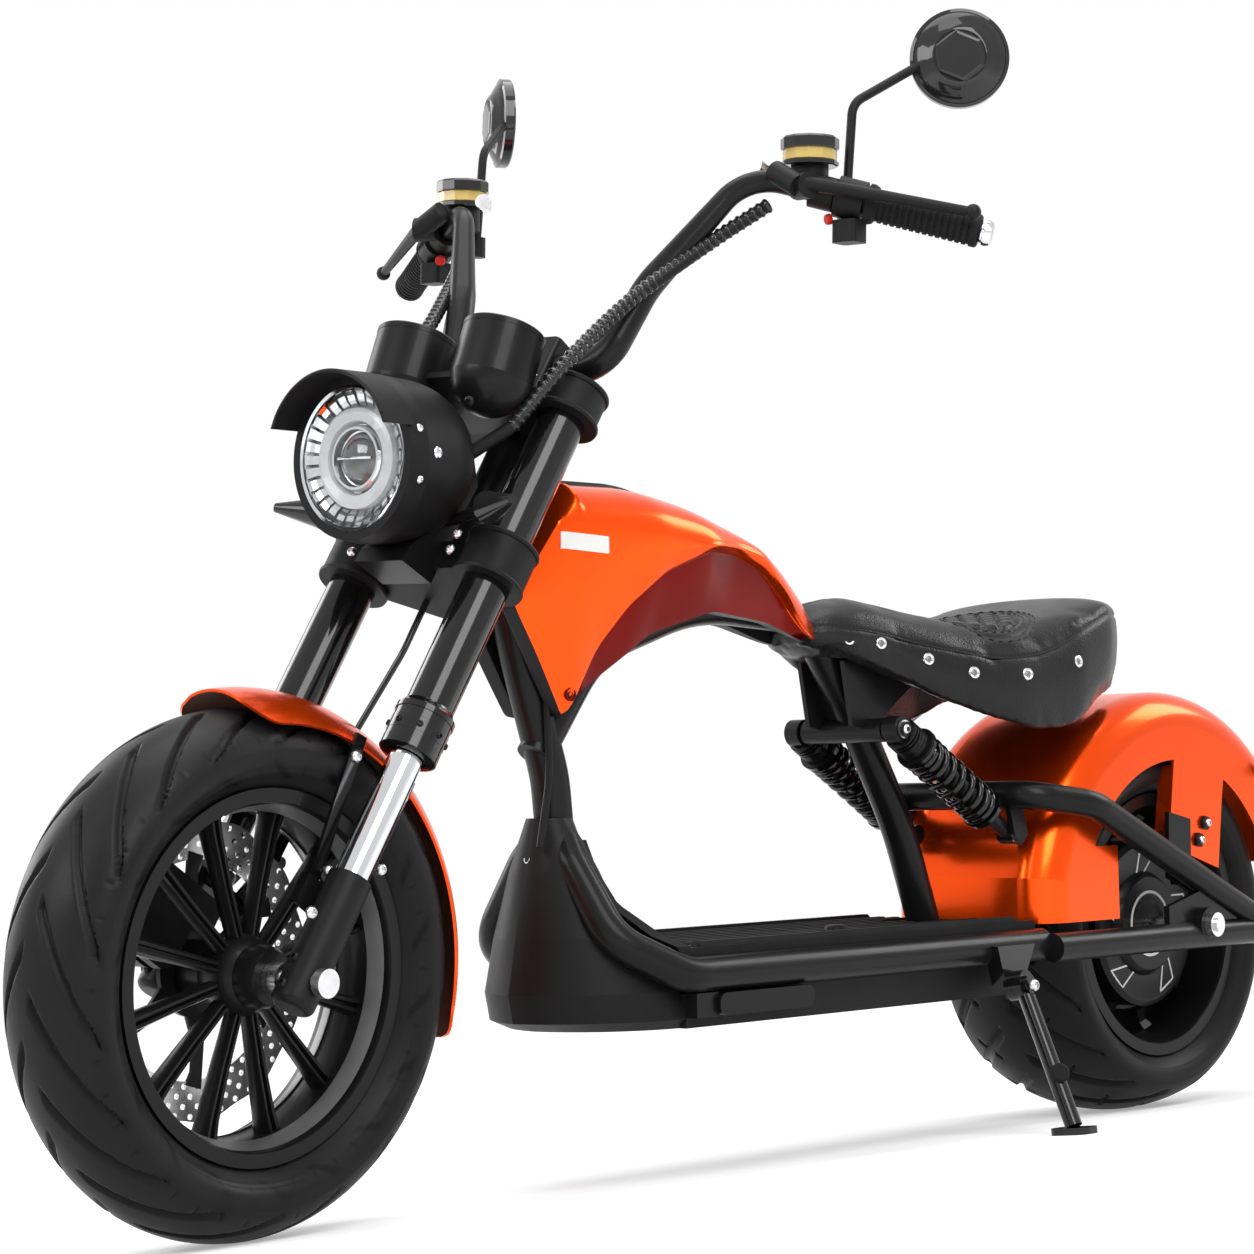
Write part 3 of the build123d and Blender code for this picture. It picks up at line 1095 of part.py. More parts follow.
# Side stand: its bracket on the frame, and the leg with its foot on the ground plane
stand_pivot = Vector(*STAND_PIVOT)
foot_spot = ROAD.to_local_coords(Vector(STAND_FOOT_X, STAND_FOOT_Y, 0))
FOOT_THICK = 8
stand_foot = ROAD.from_local_coords(Vector(foot_spot.X, foot_spot.Y, FOOT_THICK + 1))
stand_axis = Vector(0.981, 0.136, 0.136).normalized()
EYE_HALF = 6
LEG_ROD_R = 10
with BuildPart() as side_stand:
    add(rod(stand_pivot, stand_foot, LEG_ROD_R))
    add(rod(stand_pivot - stand_axis * 40, stand_pivot - stand_axis * EYE_HALF, 60), mode=Mode.SUBTRACT)
    add(rod(stand_pivot, stand_pivot + stand_axis * 40, 14), mode=Mode.SUBTRACT)
    add(rod(stand_pivot - stand_axis * EYE_HALF, stand_pivot + stand_axis * EYE_HALF, 17))
    with BuildSketch(ROAD):
        with Locations((foot_spot.X, foot_spot.Y)):
            RectangleRounded(52, 34, 12)
    extrude(amount=FOOT_THICK)
    add(rod(stand_pivot - stand_axis * 30, stand_pivot + stand_axis * 30, STAND_PIN_R + RUNNING_FIT),
        mode=Mode.SUBTRACT)
with BuildPart() as stand_bracket:
    add(rod(stand_pivot - stand_axis * 12, stand_pivot + stand_axis * (EYE_HALF + SEAT_GAP + 4), STAND_PIN_R))
    add(rod(stand_pivot + stand_axis * (EYE_HALF + SEAT_GAP), stand_pivot + stand_axis * (EYE_HALF + 5), 11))
    add(rod(stand_pivot - stand_axis * 16, stand_pivot - stand_axis * (EYE_HALF + SEAT_GAP), 17))
    with BuildSketch(SIDE.offset(RAIL_X + 8)):
        with BuildLine():
            Polyline((-420, 232), (-350, 232), (STAND_PIVOT[1] + 14, STAND_PIVOT[2] - 6),
                     (STAND_PIVOT[1] - 14, STAND_PIVOT[2] - 6), close=True)
        make_face()
    extrude(amount=STAND_PIVOT[0] - 12 - RAIL_X - 8)
    add(main_frame.part, mode=Mode.SUBTRACT)

# A cable that follows the down tube from the head to the nose
CABLE_R = 4
CABLE_ROUTE = [(26, -1006, 545), (25, -1002, 440), (24, -1018, 366)]
with BuildPart() as frame_cable:
    add(tube(CABLE_ROUTE, [200], CABLE_R))
    for neighbour in (main_frame, tank_body, belly_tray):
        add(neighbour.part, mode=Mode.SUBTRACT)

# Folded foot pegs on the tray's sides
with BuildPart() as left_peg:
    with BuildSketch(SIDE.offset(TRAY_HALF + SEAT_GAP)):
        with Locations((-888, 196)):
            Rectangle(34, 26)
    extrude(amount=16)
    with BuildSketch(SIDE.offset(TRAY_HALF + SEAT_GAP + 4)):
        with Locations((-800, 196)):
            RectangleRounded(150, 24, 10)
    extrude(amount=18)
    add(main_frame.part, mode=Mode.SUBTRACT)
foot_pegs = Compound(children=[left_peg.part, mirrored(left_peg.part)])

# Rear caliper on the right axle plate
with BuildPart() as rear_caliper:
    with BuildSketch(SIDE.offset(-SWING_X + PLATE_THICK / 2 + SEAT_GAP)):
        with Locations((-80, 262)):
            RectangleRounded(60, 44, 10)
    extrude(amount=-REAR_MOTOR_HALF - WHEEL_CLEAR + SWING_X - PLATE_THICK / 2)
    with BuildSketch(wheel_plane(REAR_AXLE).offset(REAR_DISC_X - 2)):
        Circle(REAR_DISC_R + 3)
    extrude(amount=DISC_THICK + 4, mode=Mode.SUBTRACT)
    with BuildSketch(wheel_plane(REAR_AXLE).offset(-REAR_MOTOR_HALF - MOTOR_COVER_STEP - WHEEL_CLEAR)):
        Circle(MOTOR_COVER_R + WHEEL_CLEAR)
    extrude(amount=SWING_X, mode=Mode.SUBTRACT)
    add(rear_swingarm.part, mode=Mode.SUBTRACT)

pieces = {
    "front_tyre": (front_tyre, "front_wheel"),
    "front_rim": (front_rim.part, "front_wheel"),
    "front_disc": (front_brake_disc.part, "front_wheel"),
    "rear_tyre": (rear_tyre, "rear_wheel"),
    "rear_rim": (rear_rim.part, "rear_wheel"),
    "hub_motor": (hub_motor.part, "rear_wheel"),
    "rear_disc": (rear_brake_disc.part, "rear_wheel"),
    "front_axle": (front_axle.part, "steering"),
    "fork_lowers": (fork_lowers, "steering"),
    "stanchions": (stanchions.part, "steering"),
    "fork_tubes": (fork_tubes.part, "steering"),
    "triple_clamps": (triple_clamps.part, "steering"),
    "main_frame": (main_frame.part, "root"),
    "rear_swingarm": (rear_swingarm.part, "root"),
    "rear_axle": (rear_axle.part, "root"),
    "belly_tray": (belly_tray.part, "root"),
    "battery": (battery.part, "root"),
    "deck_plate": (deck_plate.part, "root"),
    "deck_mat": (deck_mat.part, "root"),
    "tank_body": (tank_body.part, "root"),
    "tank_strip": (tank_strip.part, "root"),
    "seat": (seat.part, "root"),
    "seat_pan": (seat_pan.part, "root"),
    "shock_bodies": (shock_bodies, "root"),
    "shock_springs": (shock_springs, "root"),
    "rear_fender": (rear_fender.part, "root"),
    "tail_lamp": (tail_lamp.part, "root"),
    "rear_signals": (rear_signals, "root"),
    "front_fender": (front_fender.part, "steering"),
    "fender_straps": (fender_straps, "steering"),
    "front_caliper": (front_caliper.part, "steering"),
    "headlamp_shell": (headlamp_shell.part, "steering"),
    "headlamp_reflector": (headlamp_reflector.part, "steering"),
    "headlamp_lens": (headlamp_lens.part, "steering"),
    "headlamp_bracket": (headlamp_bracket.part, "steering"),
    "front_signals": (front_signals, "steering"),
    "instrument_pods": (instrument_pods, "steering"),
    "pod_bracket": (pod_bracket.part, "steering"),
    "handlebar": (handlebar.part, "steering"),
    "risers": (risers.part, "steering"),
    "grips": (grips, "steering"),
    "bar_ends": (bar_ends, "steering"),
    "controls": (controls, "steering"),
    "reservoirs": (reservoirs, "steering"),
    "mirrors": (mirrors, "steering"),
    "mirror_glass": (mirror_glass, "steering"),
    "harness": (harness, "steering"),
    "brake_hose": (brake_hose.part, "steering"),
    "frame_cable": (frame_cable.part, "root"),
    "side_stand": (side_stand.part, "side_stand"),
    "stand_bracket": (stand_bracket.part, "root"),
    "foot_pegs": (foot_pegs, "root"),
    "rear_caliper": (rear_caliper.part, "root"),
}

# Placement: every piece goes to its body's place, and the whole's box is centred on the origin
stances = {"root": stance, "rear_wheel": stance, "side_stand": stance, "steering": stance * steer_turn,
           "front_wheel": stance * steer_turn}
boxes = [piece.moved(stances[body]).bounding_box() for piece, body in pieces.values()]
middle_x = (min(box.min.X for box in boxes) + max(box.max.X for box in boxes)) / 2
middle_y = (min(box.min.Y for box in boxes) + max(box.max.Y for box in boxes)) / 2
lowest_z = min(box.min.Z for box in boxes)
settle = Location((-middle_x, -middle_y, -lowest_z))
os.makedirs("parts", exist_ok=True)
for name, (piece, body) in pieces.items():
    placed = piece.moved(settle * stances[body])
    placed.label = name
    export_step(placed, "parts/" + name + ".step")
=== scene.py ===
# %% [markdown]
# # An electric chopper scooter
# This lesson dresses a scooter whose solids are already built. Its frame, fork, wheels and stand
# come in as one model that stays where it is. Every new piece is worked out beside it, in the
# same coordinates, and rides with the part that carries it on the real scooter.

# %% Load the scooter's solids
import json

import bmesh
import bpy
import numpy as np
from mathutils import Matrix


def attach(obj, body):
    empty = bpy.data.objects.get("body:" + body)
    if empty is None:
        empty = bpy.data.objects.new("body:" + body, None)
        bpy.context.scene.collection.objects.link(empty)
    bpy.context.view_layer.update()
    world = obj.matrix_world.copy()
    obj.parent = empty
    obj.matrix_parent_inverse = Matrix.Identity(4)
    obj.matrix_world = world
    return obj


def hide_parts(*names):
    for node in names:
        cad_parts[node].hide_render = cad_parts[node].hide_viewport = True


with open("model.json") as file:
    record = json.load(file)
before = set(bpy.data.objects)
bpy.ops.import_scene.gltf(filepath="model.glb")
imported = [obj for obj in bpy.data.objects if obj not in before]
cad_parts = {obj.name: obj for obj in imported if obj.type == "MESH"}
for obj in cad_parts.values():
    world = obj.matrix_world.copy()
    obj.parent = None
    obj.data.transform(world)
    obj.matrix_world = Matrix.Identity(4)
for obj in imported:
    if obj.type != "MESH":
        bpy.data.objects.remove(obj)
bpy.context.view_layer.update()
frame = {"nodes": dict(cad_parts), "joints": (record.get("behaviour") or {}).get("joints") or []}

# %% [markdown]
# ## Two frames to measure in
# The scooter leans on its stand with its fork turned a little, but a tyre or a tank is easier to
# describe upright and straight ahead. So points are written in millimetres in an upright frame:
# x to the rider's left, y to the rear, z up, with the origin on the ground below the rear axle.
# The joints say how each body really stands, and that gives the way from one to the other.

# %% Work out where the bodies stand
joints = {joint["name"]: joint for joint in frame["joints"]}
RAKE = np.radians(33)
WHEELBASE = 1411
FRONT_AXLE = np.array([0, -WHEELBASE, 257])
REAR_AXLE = np.array([0, 0, 237])
ALONG = np.array([0, np.sin(RAKE), np.cos(RAKE)])
AHEAD = np.array([0, -np.cos(RAKE), np.sin(RAKE)])
ACROSS, BACK, UP = (1, 0, 0), (0, 1, 0), (0, 0, 1)


def body_stance(spin, hub):
    """A body's axes and origin: across from its wheel's axle, rear and up from that and the fork."""
    across = np.array(joints[spin]["axis"])
    along = np.array(joints["steering"]["axis"])
    ahead = np.cross(across, along)
    rear = np.sin(RAKE) * along - np.cos(RAKE) * ahead
    up = np.cos(RAKE) * along + np.sin(RAKE) * ahead
    axes = np.array([across, rear, up])
    return np.array(joints[spin]["pos_m"]) - hub / 1000 @ axes, axes


STANCES = {"root": body_stance("rear_wheel_spin", REAR_AXLE)}
STANCES["steering"] = body_stance("front_wheel_spin", FRONT_AXLE)
STANCES["front_wheel"] = STANCES["steering"]
STANCES["rear_wheel"] = STANCES["root"]
STANCES["side_stand"] = STANCES["root"]


def place(points, body="root"):
    """Upright millimetres to metres in the model: the body's origin plus each length along its axes."""
    origin, axes = STANCES[body]
    return origin + np.asarray(points, float) / 1000 @ axes


def upright(points, body="root"):
    """The way back from metres in the model to upright millimetres."""
    origin, axes = STANCES[body]
    return (np.asarray(points) - origin) @ axes.T * 1000


def fork_point(x, station, ahead=0):
    """A point of the fork: its side, its way up along the legs and its distance ahead of them."""
    return FRONT_AXLE + np.array([x, 0, 0]) + ALONG * station + AHEAD * ahead


print("rear axle", place(REAR_AXLE), "front axle", place(FRONT_AXLE, "steering"))

# %% [markdown]
# ## From arrays to pieces
# A shape here is a grid of points worked out with numpy. The helpers below turn grids into faces,
# close their poles, point the faces outwards, and put the piece on the body that carries it.

# %% Helpers that make pieces
def grid_faces(rows, columns, wrap_rows=False, wrap_columns=False):
    """Quads between neighbouring rows and columns of a grid that is numbered row by row."""
    row = np.arange(rows if wrap_rows else rows - 1)
    column = np.arange(columns if wrap_columns else columns - 1)
    a, b = np.meshgrid(row, column, indexing="ij")
    c, d = (a + 1) % rows, (b + 1) % columns
    return np.stack([a * columns + b, c * columns + b, c * columns + d, a * columns + d], -1).reshape(-1, 4)


def patch(points, wrap_rows=False, wrap_columns=False):
    """A grid of points as a flat list with its faces."""
    rows, columns = points.shape[:2]
    return points.reshape(-1, 3), grid_faces(rows, columns, wrap_rows, wrap_columns)


def edge_of(grid):
    """The border of a grid, once round."""
    return np.concatenate([grid[0], grid[1:, -1], grid[-1, :-1][::-1], grid[1:-1, 0][::-1]])


def unit(vectors):
    """Vectors divided by their lengths."""
    return vectors / np.linalg.norm(vectors, axis=-1, keepdims=True)


def turned(profile, centre, axis, steps=96, closed=False):
    """A turned shape: each (way along the axis, radius) of the profile carried round the axis."""
    axis = unit(np.array(axis, float))
    side = unit(np.cross(axis, [0.31, 0.22, 0.93]))
    other = np.cross(axis, side)
    angle = np.radians(np.linspace(0, 360, steps, endpoint=False))[None, :, None]
    along, radius = (np.array(profile, float)[:, i, None, None] for i in (0, 1))
    points = np.array(centre, float) + along * axis + radius * (np.cos(angle) * side + np.sin(angle) * other)
    return patch(points, wrap_rows=closed, wrap_columns=True)


def collar(low, high, inner, outer):
    """The square section of a ring, from low to high along its axis and from the inner to the outer radius."""
    return [(low, inner), (low, outer), (high, outer), (high, inner)]


def bell(distance, width):
    """A bell curve: one at nought, and e times less at a distance of one width."""
    return np.exp(-(distance / width)**2)


def along_y(places, values, at, blur=10):
    """Values read off straight runs between places, then averaged with bell weights over the blur."""
    fine = np.arange(min(at) - 4 * blur, max(at) + 4 * blur, 1.0)
    reads = np.interp(fine, places, values)
    weight = np.exp(-0.5 * (np.arange(-3 * blur, 3 * blur + 1) / blur)**2)
    reads = np.convolve(np.pad(reads, len(weight) // 2, mode="edge"), weight / weight.sum(), mode="valid")
    return np.interp(at, fine, reads[:len(fine)])


def flowing(corners, count):
    """A smooth line through points: cubic pieces whose slope at a point joins its neighbours."""
    corners = np.array(corners, float)
    padded = np.vstack([2 * corners[0] - corners[1], corners, 2 * corners[-1] - corners[-2]])
    t = np.linspace(0, len(corners) - 1 - 1e-9, count)
    i = t.astype(int)
    f = (t - i)[:, None]
    a, b, c, d = padded[i], padded[i + 1], padded[i + 2], padded[i + 3]
    return 0.5 * (2 * b + (c - a) * f + (2 * a - 5 * b + 4 * c - d) * f**2 + (3 * b - 3 * c + d - a) * f**3)


def carried(path, section, reference, size=None, closed=False):
    """A section carried along a path: its x along path cross reference, its y square to both, ends closed."""
    path = np.array(path, float)
    way = unit(np.roll(path, -1, 0) - np.roll(path, 1, 0)) if closed else unit(np.gradient(path, axis=0))
    side = unit(np.cross(way, reference))
    up = np.cross(side, way)
    size = np.ones(len(path)) if size is None else np.array(size, float)
    section = np.array(section, float)
    points = (path[:, None] + size[:, None, None] * (section[None, :, :1] * side[:, None]
                                                     + section[None, :, 1:] * up[:, None]))
    if closed:
        return patch(points, wrap_rows=True, wrap_columns=True)
    first = np.repeat(path[:1, None], points.shape[1], 1)
    last = np.repeat(path[-1:, None], points.shape[1], 1)
    return patch(np.concatenate([first, points, last]), wrap_columns=True)


def ring(radius, count=16, squash=1.0):
    """A round section, or an oval one where squash differs from one."""
    angle = np.linspace(0, 2 * np.pi, count, endpoint=False)
    return np.stack([radius * np.cos(angle), squash * radius * np.sin(angle)], -1)


def both_sides(patches):
    """The patches and their mirror images on the other side of the scooter."""
    flip = np.array([-1, 1, 1])
    return patches + [(one[0] * flip, one[1][:, ::-1], *one[2:]) for one in patches]


def mesh_points(mesh):
    """The vertices of a mesh as an array."""
    flat = np.empty(len(mesh.vertices) * 3)
    mesh.vertices.foreach_get("co", flat)
    return flat.reshape(-1, 3)


def new_object(name, data):
    """An object of the scene, made of its data."""
    made = bpy.data.objects.new(name, data)
    bpy.context.scene.collection.objects.link(made)
    return made


pieces_made = []


def make_piece(name, body, patches, finish, slot, replaces=(), sharp=32, flat=False):
    """One named object from patches, merged, faced outwards, placed and riding on its body.
    A patch may name its zone, the number of its finish in a list, for all or for each of its faces."""
    start = np.cumsum([0] + [len(one[0]) for one in patches[:-1]])
    points = place(np.concatenate([one[0] for one in patches]), body)
    faces = np.concatenate([one[1] + shift for shift, one in zip(start, patches)])
    zone = np.concatenate([np.broadcast_to(one[2] if len(one) > 2 else 0, len(one[1])) for one in patches])
    mesh = bpy.data.meshes.new(name)
    mesh.from_pydata(points.tolist(), [], faces.tolist())
    mesh.polygons.foreach_set("material_index", zone.astype(np.int32))
    work = bmesh.new()
    work.from_mesh(mesh)
    bmesh.ops.remove_doubles(work, verts=work.verts, dist=1e-5)
    bmesh.ops.dissolve_degenerate(work, edges=work.edges, dist=1e-6)
    bmesh.ops.recalc_face_normals(work, faces=work.faces)
    work.to_mesh(mesh)
    work.free()
    if not flat:
        mesh.shade_smooth()
        mesh.set_sharp_from_angle(angle=np.radians(sharp))
    for one in finish if isinstance(finish, list) else [finish]:
        mesh.materials.append(one)
    piece = new_object(name, mesh)
    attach(piece, body)
    if replaces:
        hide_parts(*replaces)
    pieces_made.append((name, len(mesh.polygons)))
    return piece


def make_pair(name, body, patches, *rest, **more):
    """A piece made of the patches and their mirror images on the other side."""
    return make_piece(name, body, both_sides(patches), *rest, **more)


# %% [markdown]
# ## Camera, floor and light
# The picture shows the scooter from its front left, almost level with the wheels. The camera
# stands where straight edges and the two round wheels say it stood. The floor and backdrop are
# white to the camera, to mirrors and to lenses, and plain to everything else, so the scooter
# keeps its soft shadow.

# %% Camera
CAMERA_PLACE = np.array([2425.91, -3328.07, 436.37])
CAMERA_AXES = np.array([[0.712848, 0.700899, -0.024277], [0.050705, -0.016982, 0.998569],
                        [0.699484, -0.713059, -0.047644]])
FOCAL_PIXELS, PICTURE_PIXELS, SENSOR_MM = 3167.67, 1254, 36
camera_data = bpy.data.cameras.new("camera")
camera_data.lens = FOCAL_PIXELS / PICTURE_PIXELS * SENSOR_MM
camera_data.clip_end = 60
camera = new_object("camera", camera_data)
turn = Matrix((CAMERA_AXES @ STANCES["root"][1]).T.tolist()).to_4x4()
camera.matrix_world = Matrix.Translation(place(CAMERA_PLACE).tolist()) @ turn
bpy.context.scene.camera = camera
bpy.context.scene.view_settings.view_transform = "Standard"
print("camera at", [round(value, 3) for value in camera.location])


# %% Light and backdrop
def lamp(name, place_m, aim_m, width, height, power):
    """A rectangular soft lamp that faces a point."""
    data = bpy.data.lights.new(name, "AREA")
    data.shape = "RECTANGLE"
    data.size, data.size_y, data.energy = width, height, power
    light = new_object(name, data)
    aim = Matrix.Translation(place_m).to_translation() - Matrix.Translation(aim_m).to_translation()
    light.matrix_world = Matrix.Translation(place_m) @ aim.to_track_quat("Z", "Y").to_matrix().to_4x4()


lamp("left softbox", (2.6, -1.2, 2.6), (0, 0, 0.5), 1.6, 2.6, 92)
lamp("front softbox", (-0.4, -3.6, 2.4), (0, -0.4, 0.5), 2.2, 1.4, 66)
lamp("rear softbox", (1.4, 3.2, 2.4), (0, 0.4, 0.5), 1.4, 1.6, 50)
lamp("top softbox", (0, 0, 3.6), (0, 0, 0), 2.4, 3.0, 70)
lamp("right softbox", (-3.0, -0.6, 1.8), (0, 0, 0.5), 1.2, 2.2, 40)


# %% Helpers for shader nodes
def feed(tree, socket, value):
    """Give an input socket a number or a colour, or link another node's output to it."""
    if isinstance(value, bpy.types.NodeSocket):
        tree.links.new(value, socket)
    else:
        socket.default_value = value


def add_node(tree, kind, operation=None, **inputs):
    """A shader node, or the node of a group, with its inputs fed by name."""
    grouped = isinstance(kind, bpy.types.NodeTree)
    node = tree.nodes.new("ShaderNodeGroup" if grouped else kind)
    if grouped:
        node.node_tree = kind
    if operation:
        node.operation = operation
    for name, value in inputs.items():
        feed(tree, node.inputs[name.replace("_", " ")], value)
    return node


def maths(tree, operation, first, second):
    """The output of a maths node with two terms."""
    node = add_node(tree, "ShaderNodeMath", operation)
    feed(tree, node.inputs[0], first)
    feed(tree, node.inputs[1], second)
    return node.outputs[0]


def new_finish(name, **inputs):
    """A material, its node tree, its Principled shader with fed inputs, and the place on the object."""
    material = bpy.data.materials.new(name)
    material.use_nodes = True
    tree = material.node_tree
    shader = tree.nodes["Principled BSDF"]
    for socket, value in inputs.items():
        feed(tree, shader.inputs[socket.replace("_", " ")], value)
    return material, tree, shader, tree.nodes.new("ShaderNodeTexCoord").outputs["Object"]


def looking_rays(tree):
    """One for rays that come from the camera, a mirror or a lens, and nought for those that carry light."""
    rays = tree.nodes.new("ShaderNodeLightPath")
    found = rays.outputs["Is Camera Ray"]
    for kind in ("Is Glossy Ray", "Is Transmission Ray"):
        found = maths(tree, "MAXIMUM", found, rays.outputs[kind])
    return found


# %% Backdrop and floor
WORLD_LIGHT = 0.22
FLOOR_SHADE, SHADOW_LIFT, SHADOW_M, WHITE_M = 0.8, 0.35, 1.0, 2.6
world = bpy.data.worlds.new("studio")
world.use_nodes = True
bpy.context.scene.world = world
strength = add_node(world.node_tree, "ShaderNodeMapRange", Value=looking_rays(world.node_tree), To_Min=WORLD_LIGHT,
                    To_Max=1.0)
backdrop = world.node_tree.nodes["Background"]
feed(world.node_tree, backdrop.inputs["Strength"], strength.outputs["Result"])
backdrop.inputs["Color"].default_value = (1, 1, 1, 1)


def floor_finish(name, shade, lift):
    """A pale matt floor that is lifted to white where it is looked at, less so in the scooter's shadow."""
    material, tree, shader, spot = new_finish(name, Base_Color=(shade, shade, shade, 1), Roughness=0.95,
                                              Specular_IOR_Level=0, Emission_Strength=1)
    far = add_node(tree, "ShaderNodeVectorMath", "LENGTH", Vector=spot)
    rise = add_node(tree, "ShaderNodeMapRange", Value=far.outputs["Value"], From_Min=SHADOW_M, From_Max=WHITE_M,
                    To_Min=lift, To_Max=1.0)
    feed(tree, shader.inputs["Emission Color"], maths(tree, "MULTIPLY", rise.outputs["Result"], looking_rays(tree)))
    return material


floor_mesh = bpy.data.meshes.new("floor")
floor_mesh.from_pydata([(-30, -30, 0), (30, -30, 0), (30, 30, 0), (-30, 30, 0)], [], [(0, 1, 2, 3)])
floor = new_object("floor", floor_mesh)
floor_mesh.materials.append(floor_finish("floor white", FLOOR_SHADE, SHADOW_LIFT))

# %% [markdown]
# ## Effects that several finishes share
# Real paint, plastic and rubber are never one even colour. Three small node groups give that life:
# a slow mottle that shifts colour and gloss, a fine grain for castings and rubber, and a pebble
# pattern for leather and moulded plastic. Each finish uses them with its own numbers.

# %% Shared effects
def effect_group(name, **sockets):
    """A node group with a place, its own number sockets and one Value; it comes with where they start and end."""
    tree = bpy.data.node_groups.new(name, "ShaderNodeTree")
    tree.interface.new_socket("Vector", in_out="INPUT", socket_type="NodeSocketVector")
    for socket, value in sockets.items():
        tree.interface.new_socket(socket, in_out="INPUT", socket_type="NodeSocketFloat").default_value = value
    tree.interface.new_socket("Value", in_out="OUTPUT", socket_type="NodeSocketFloat")
    return tree, tree.nodes.new("NodeGroupInput").outputs, tree.nodes.new("NodeGroupOutput").inputs["Value"]


mottle, given, result = effect_group("mottle", Scale=12, Amount=0.1)
noise = add_node(mottle, "ShaderNodeTexNoise", Vector=given["Vector"], Scale=given["Scale"], Detail=3.0,
                 Roughness=0.55)
spread = add_node(mottle, "ShaderNodeMapRange", Value=noise.outputs["Fac"], From_Min=0.3, From_Max=0.7,
                  To_Min=maths(mottle, "SUBTRACT", 1, given["Amount"]),
                  To_Max=maths(mottle, "ADD", 1, given["Amount"]))
feed(mottle, result, spread.outputs["Result"])

grain, given, result = effect_group("grain", Scale=400)
noise = add_node(grain, "ShaderNodeTexNoise", Vector=given["Vector"], Scale=given["Scale"], Detail=5.0, Roughness=0.6)
feed(grain, result, noise.outputs["Fac"])

pebble, given, result = effect_group("pebble", Scale=300)
cells = pebble.nodes.new("ShaderNodeTexVoronoi")
cells.feature = "SMOOTH_F1"
for socket, value in (("Vector", given["Vector"]), ("Scale", given["Scale"]), ("Smoothness", 0.6)):
    feed(pebble, cells.inputs[socket], value)
feed(pebble, result, maths(pebble, "SUBTRACT", 1, cells.outputs["Distance"]))
print("effects", [group.name for group in bpy.data.node_groups])

# %% [markdown]
# ## The finishes
# A candy paint shines through like tinted metal, under a thin clear coat. The fork tubes are
# glossy black, the frame and the castings satin, the rubber dull. Each finish starts from one
# call, and its colour, roughness and small relief vary over the surface through the groups above.

# %% Make a finish
def make_finish(name, colour, roughness, metallic=0.0, coat=0.0, mottled=(9, 0.06), bumps=None, **more):
    """A Principled material: its mottling is (scale, amount), its bumps are (group, depth in metres, scale)."""
    material, tree, shader, spot = new_finish(name, Metallic=metallic, Coat_Weight=coat,
                                              **{"Specular_IOR_Level": 0.12, **more})
    factor = add_node(tree, mottle, Vector=spot, Scale=mottled[0], Amount=mottled[1]).outputs["Value"]
    tint = add_node(tree, "ShaderNodeVectorMath", "SCALE", Vector=colour, Scale=factor)
    feed(tree, shader.inputs["Base Color"], tint.outputs["Vector"])
    feed(tree, shader.inputs["Roughness"], maths(tree, "MULTIPLY", factor, roughness))
    if bumps:
        group, depth, scale = bumps
        height = add_node(tree, group, Vector=spot, Scale=scale).outputs["Value"]
        bump = add_node(tree, "ShaderNodeBump", Strength=0.6, Distance=depth, Height=height)
        feed(tree, shader.inputs["Normal"], bump.outputs["Normal"])
    return material


def black(level):
    """A black with a trace of blue."""
    return level, level, level + 0.0005


# %% The scooter's finishes
candy = make_finish("candy orange", (0.90, 0.072, 0.001), 0.22, 0.8, 0.12, (5, 0.07), (grain, 0.00004, 1400),
                    Coat_Roughness=0.03)
# Deep red candy for the sunk tank panel and the recess rings: painted shade, not a second paint.
candy_painted_shade = make_finish("candy red painted shade", (0.13, 0.002, 0.0), 0.24, 0.7, 0.05, (6, 0.1), (grain, 0.00004, 1400),
                         Coat_Roughness=0.03)
# A dull brown for the inside of the front fender: painted shade under the sheet.
fender_painted_shade = make_finish("fender painted shade", (0.19, 0.06, 0.033), 0.6, mottled=(14, 0.15), bumps=(grain, 0.0002, 600))
gloss_black = make_finish("gloss black", black(0.005), 0.16, 0, 0.5, (7, 0.2), (grain, 0.00005, 900),
                          Coat_Roughness=0.05)
satin_black = make_finish("satin black", black(0.007), 0.34, 0, 0.06, (10, 0.15), (grain, 0.0001, 700))
matt_black = make_finish("matt black", black(0.0085), 0.5, 0, 0, (12, 0.12), (grain, 0.00022, 950))
cast_black = make_finish("cast black", black(0.011), 0.4, 0.15, 0, (22, 0.15), (grain, 0.0003, 520))
black_plastic = make_finish("black plastic", black(0.009), 0.46, 0, 0, (15, 0.1), (pebble, 0.00012, 900))
gloss_plastic = make_finish("gloss plastic", (0.013, 0.013, 0.014), 0.12, 0, 0.5, (10, 0.15))
rubber = make_finish("tyre rubber", black(0.0085), 0.6, 0, 0, (16, 0.18), (grain, 0.0003, 420))
grip_rubber = make_finish("grip rubber", black(0.011), 0.7, 0, 0, (30, 0.15), (pebble, 0.0003, 700))
leather = make_finish("seat leather", (0.0085, 0.0083, 0.0085), 0.36, 0, 0, (9, 0.2), (pebble, 0.0005, 420),
                      Specular_IOR_Level=0.22)
chrome = make_finish("chrome", (0.62, 0.63, 0.65), 0.08, 1, 0, (18, 0.03))
bright_steel = make_finish("bright steel", (0.62, 0.62, 0.63), 0.28, 1, 0, (40, 0.12), (grain, 0.00006, 900))
satin_grey = make_finish("satin grey", (0.19, 0.19, 0.195), 0.42, 0.6, 0, (20, 0.12), (grain, 0.0001, 700))
reflector_metal = make_finish("reflector", (0.82, 0.83, 0.85), 0.16, 1, 0, (30, 0.05))
mirror_face = make_finish("mirror glass", (0.88, 0.9, 0.91), 0.03, 1, 0, (8, 0.02))
red_lens = make_finish("red lens", (0.30, 0.006, 0.006), 0.12, 0, 1, (40, 0.2))
amber_fluid = make_finish("reservoir fluid", (0.80, 0.58, 0.17), 0.16, 0, 0.6, (25, 0.1), Transmission_Weight=0.35,
                          IOR=1.4)
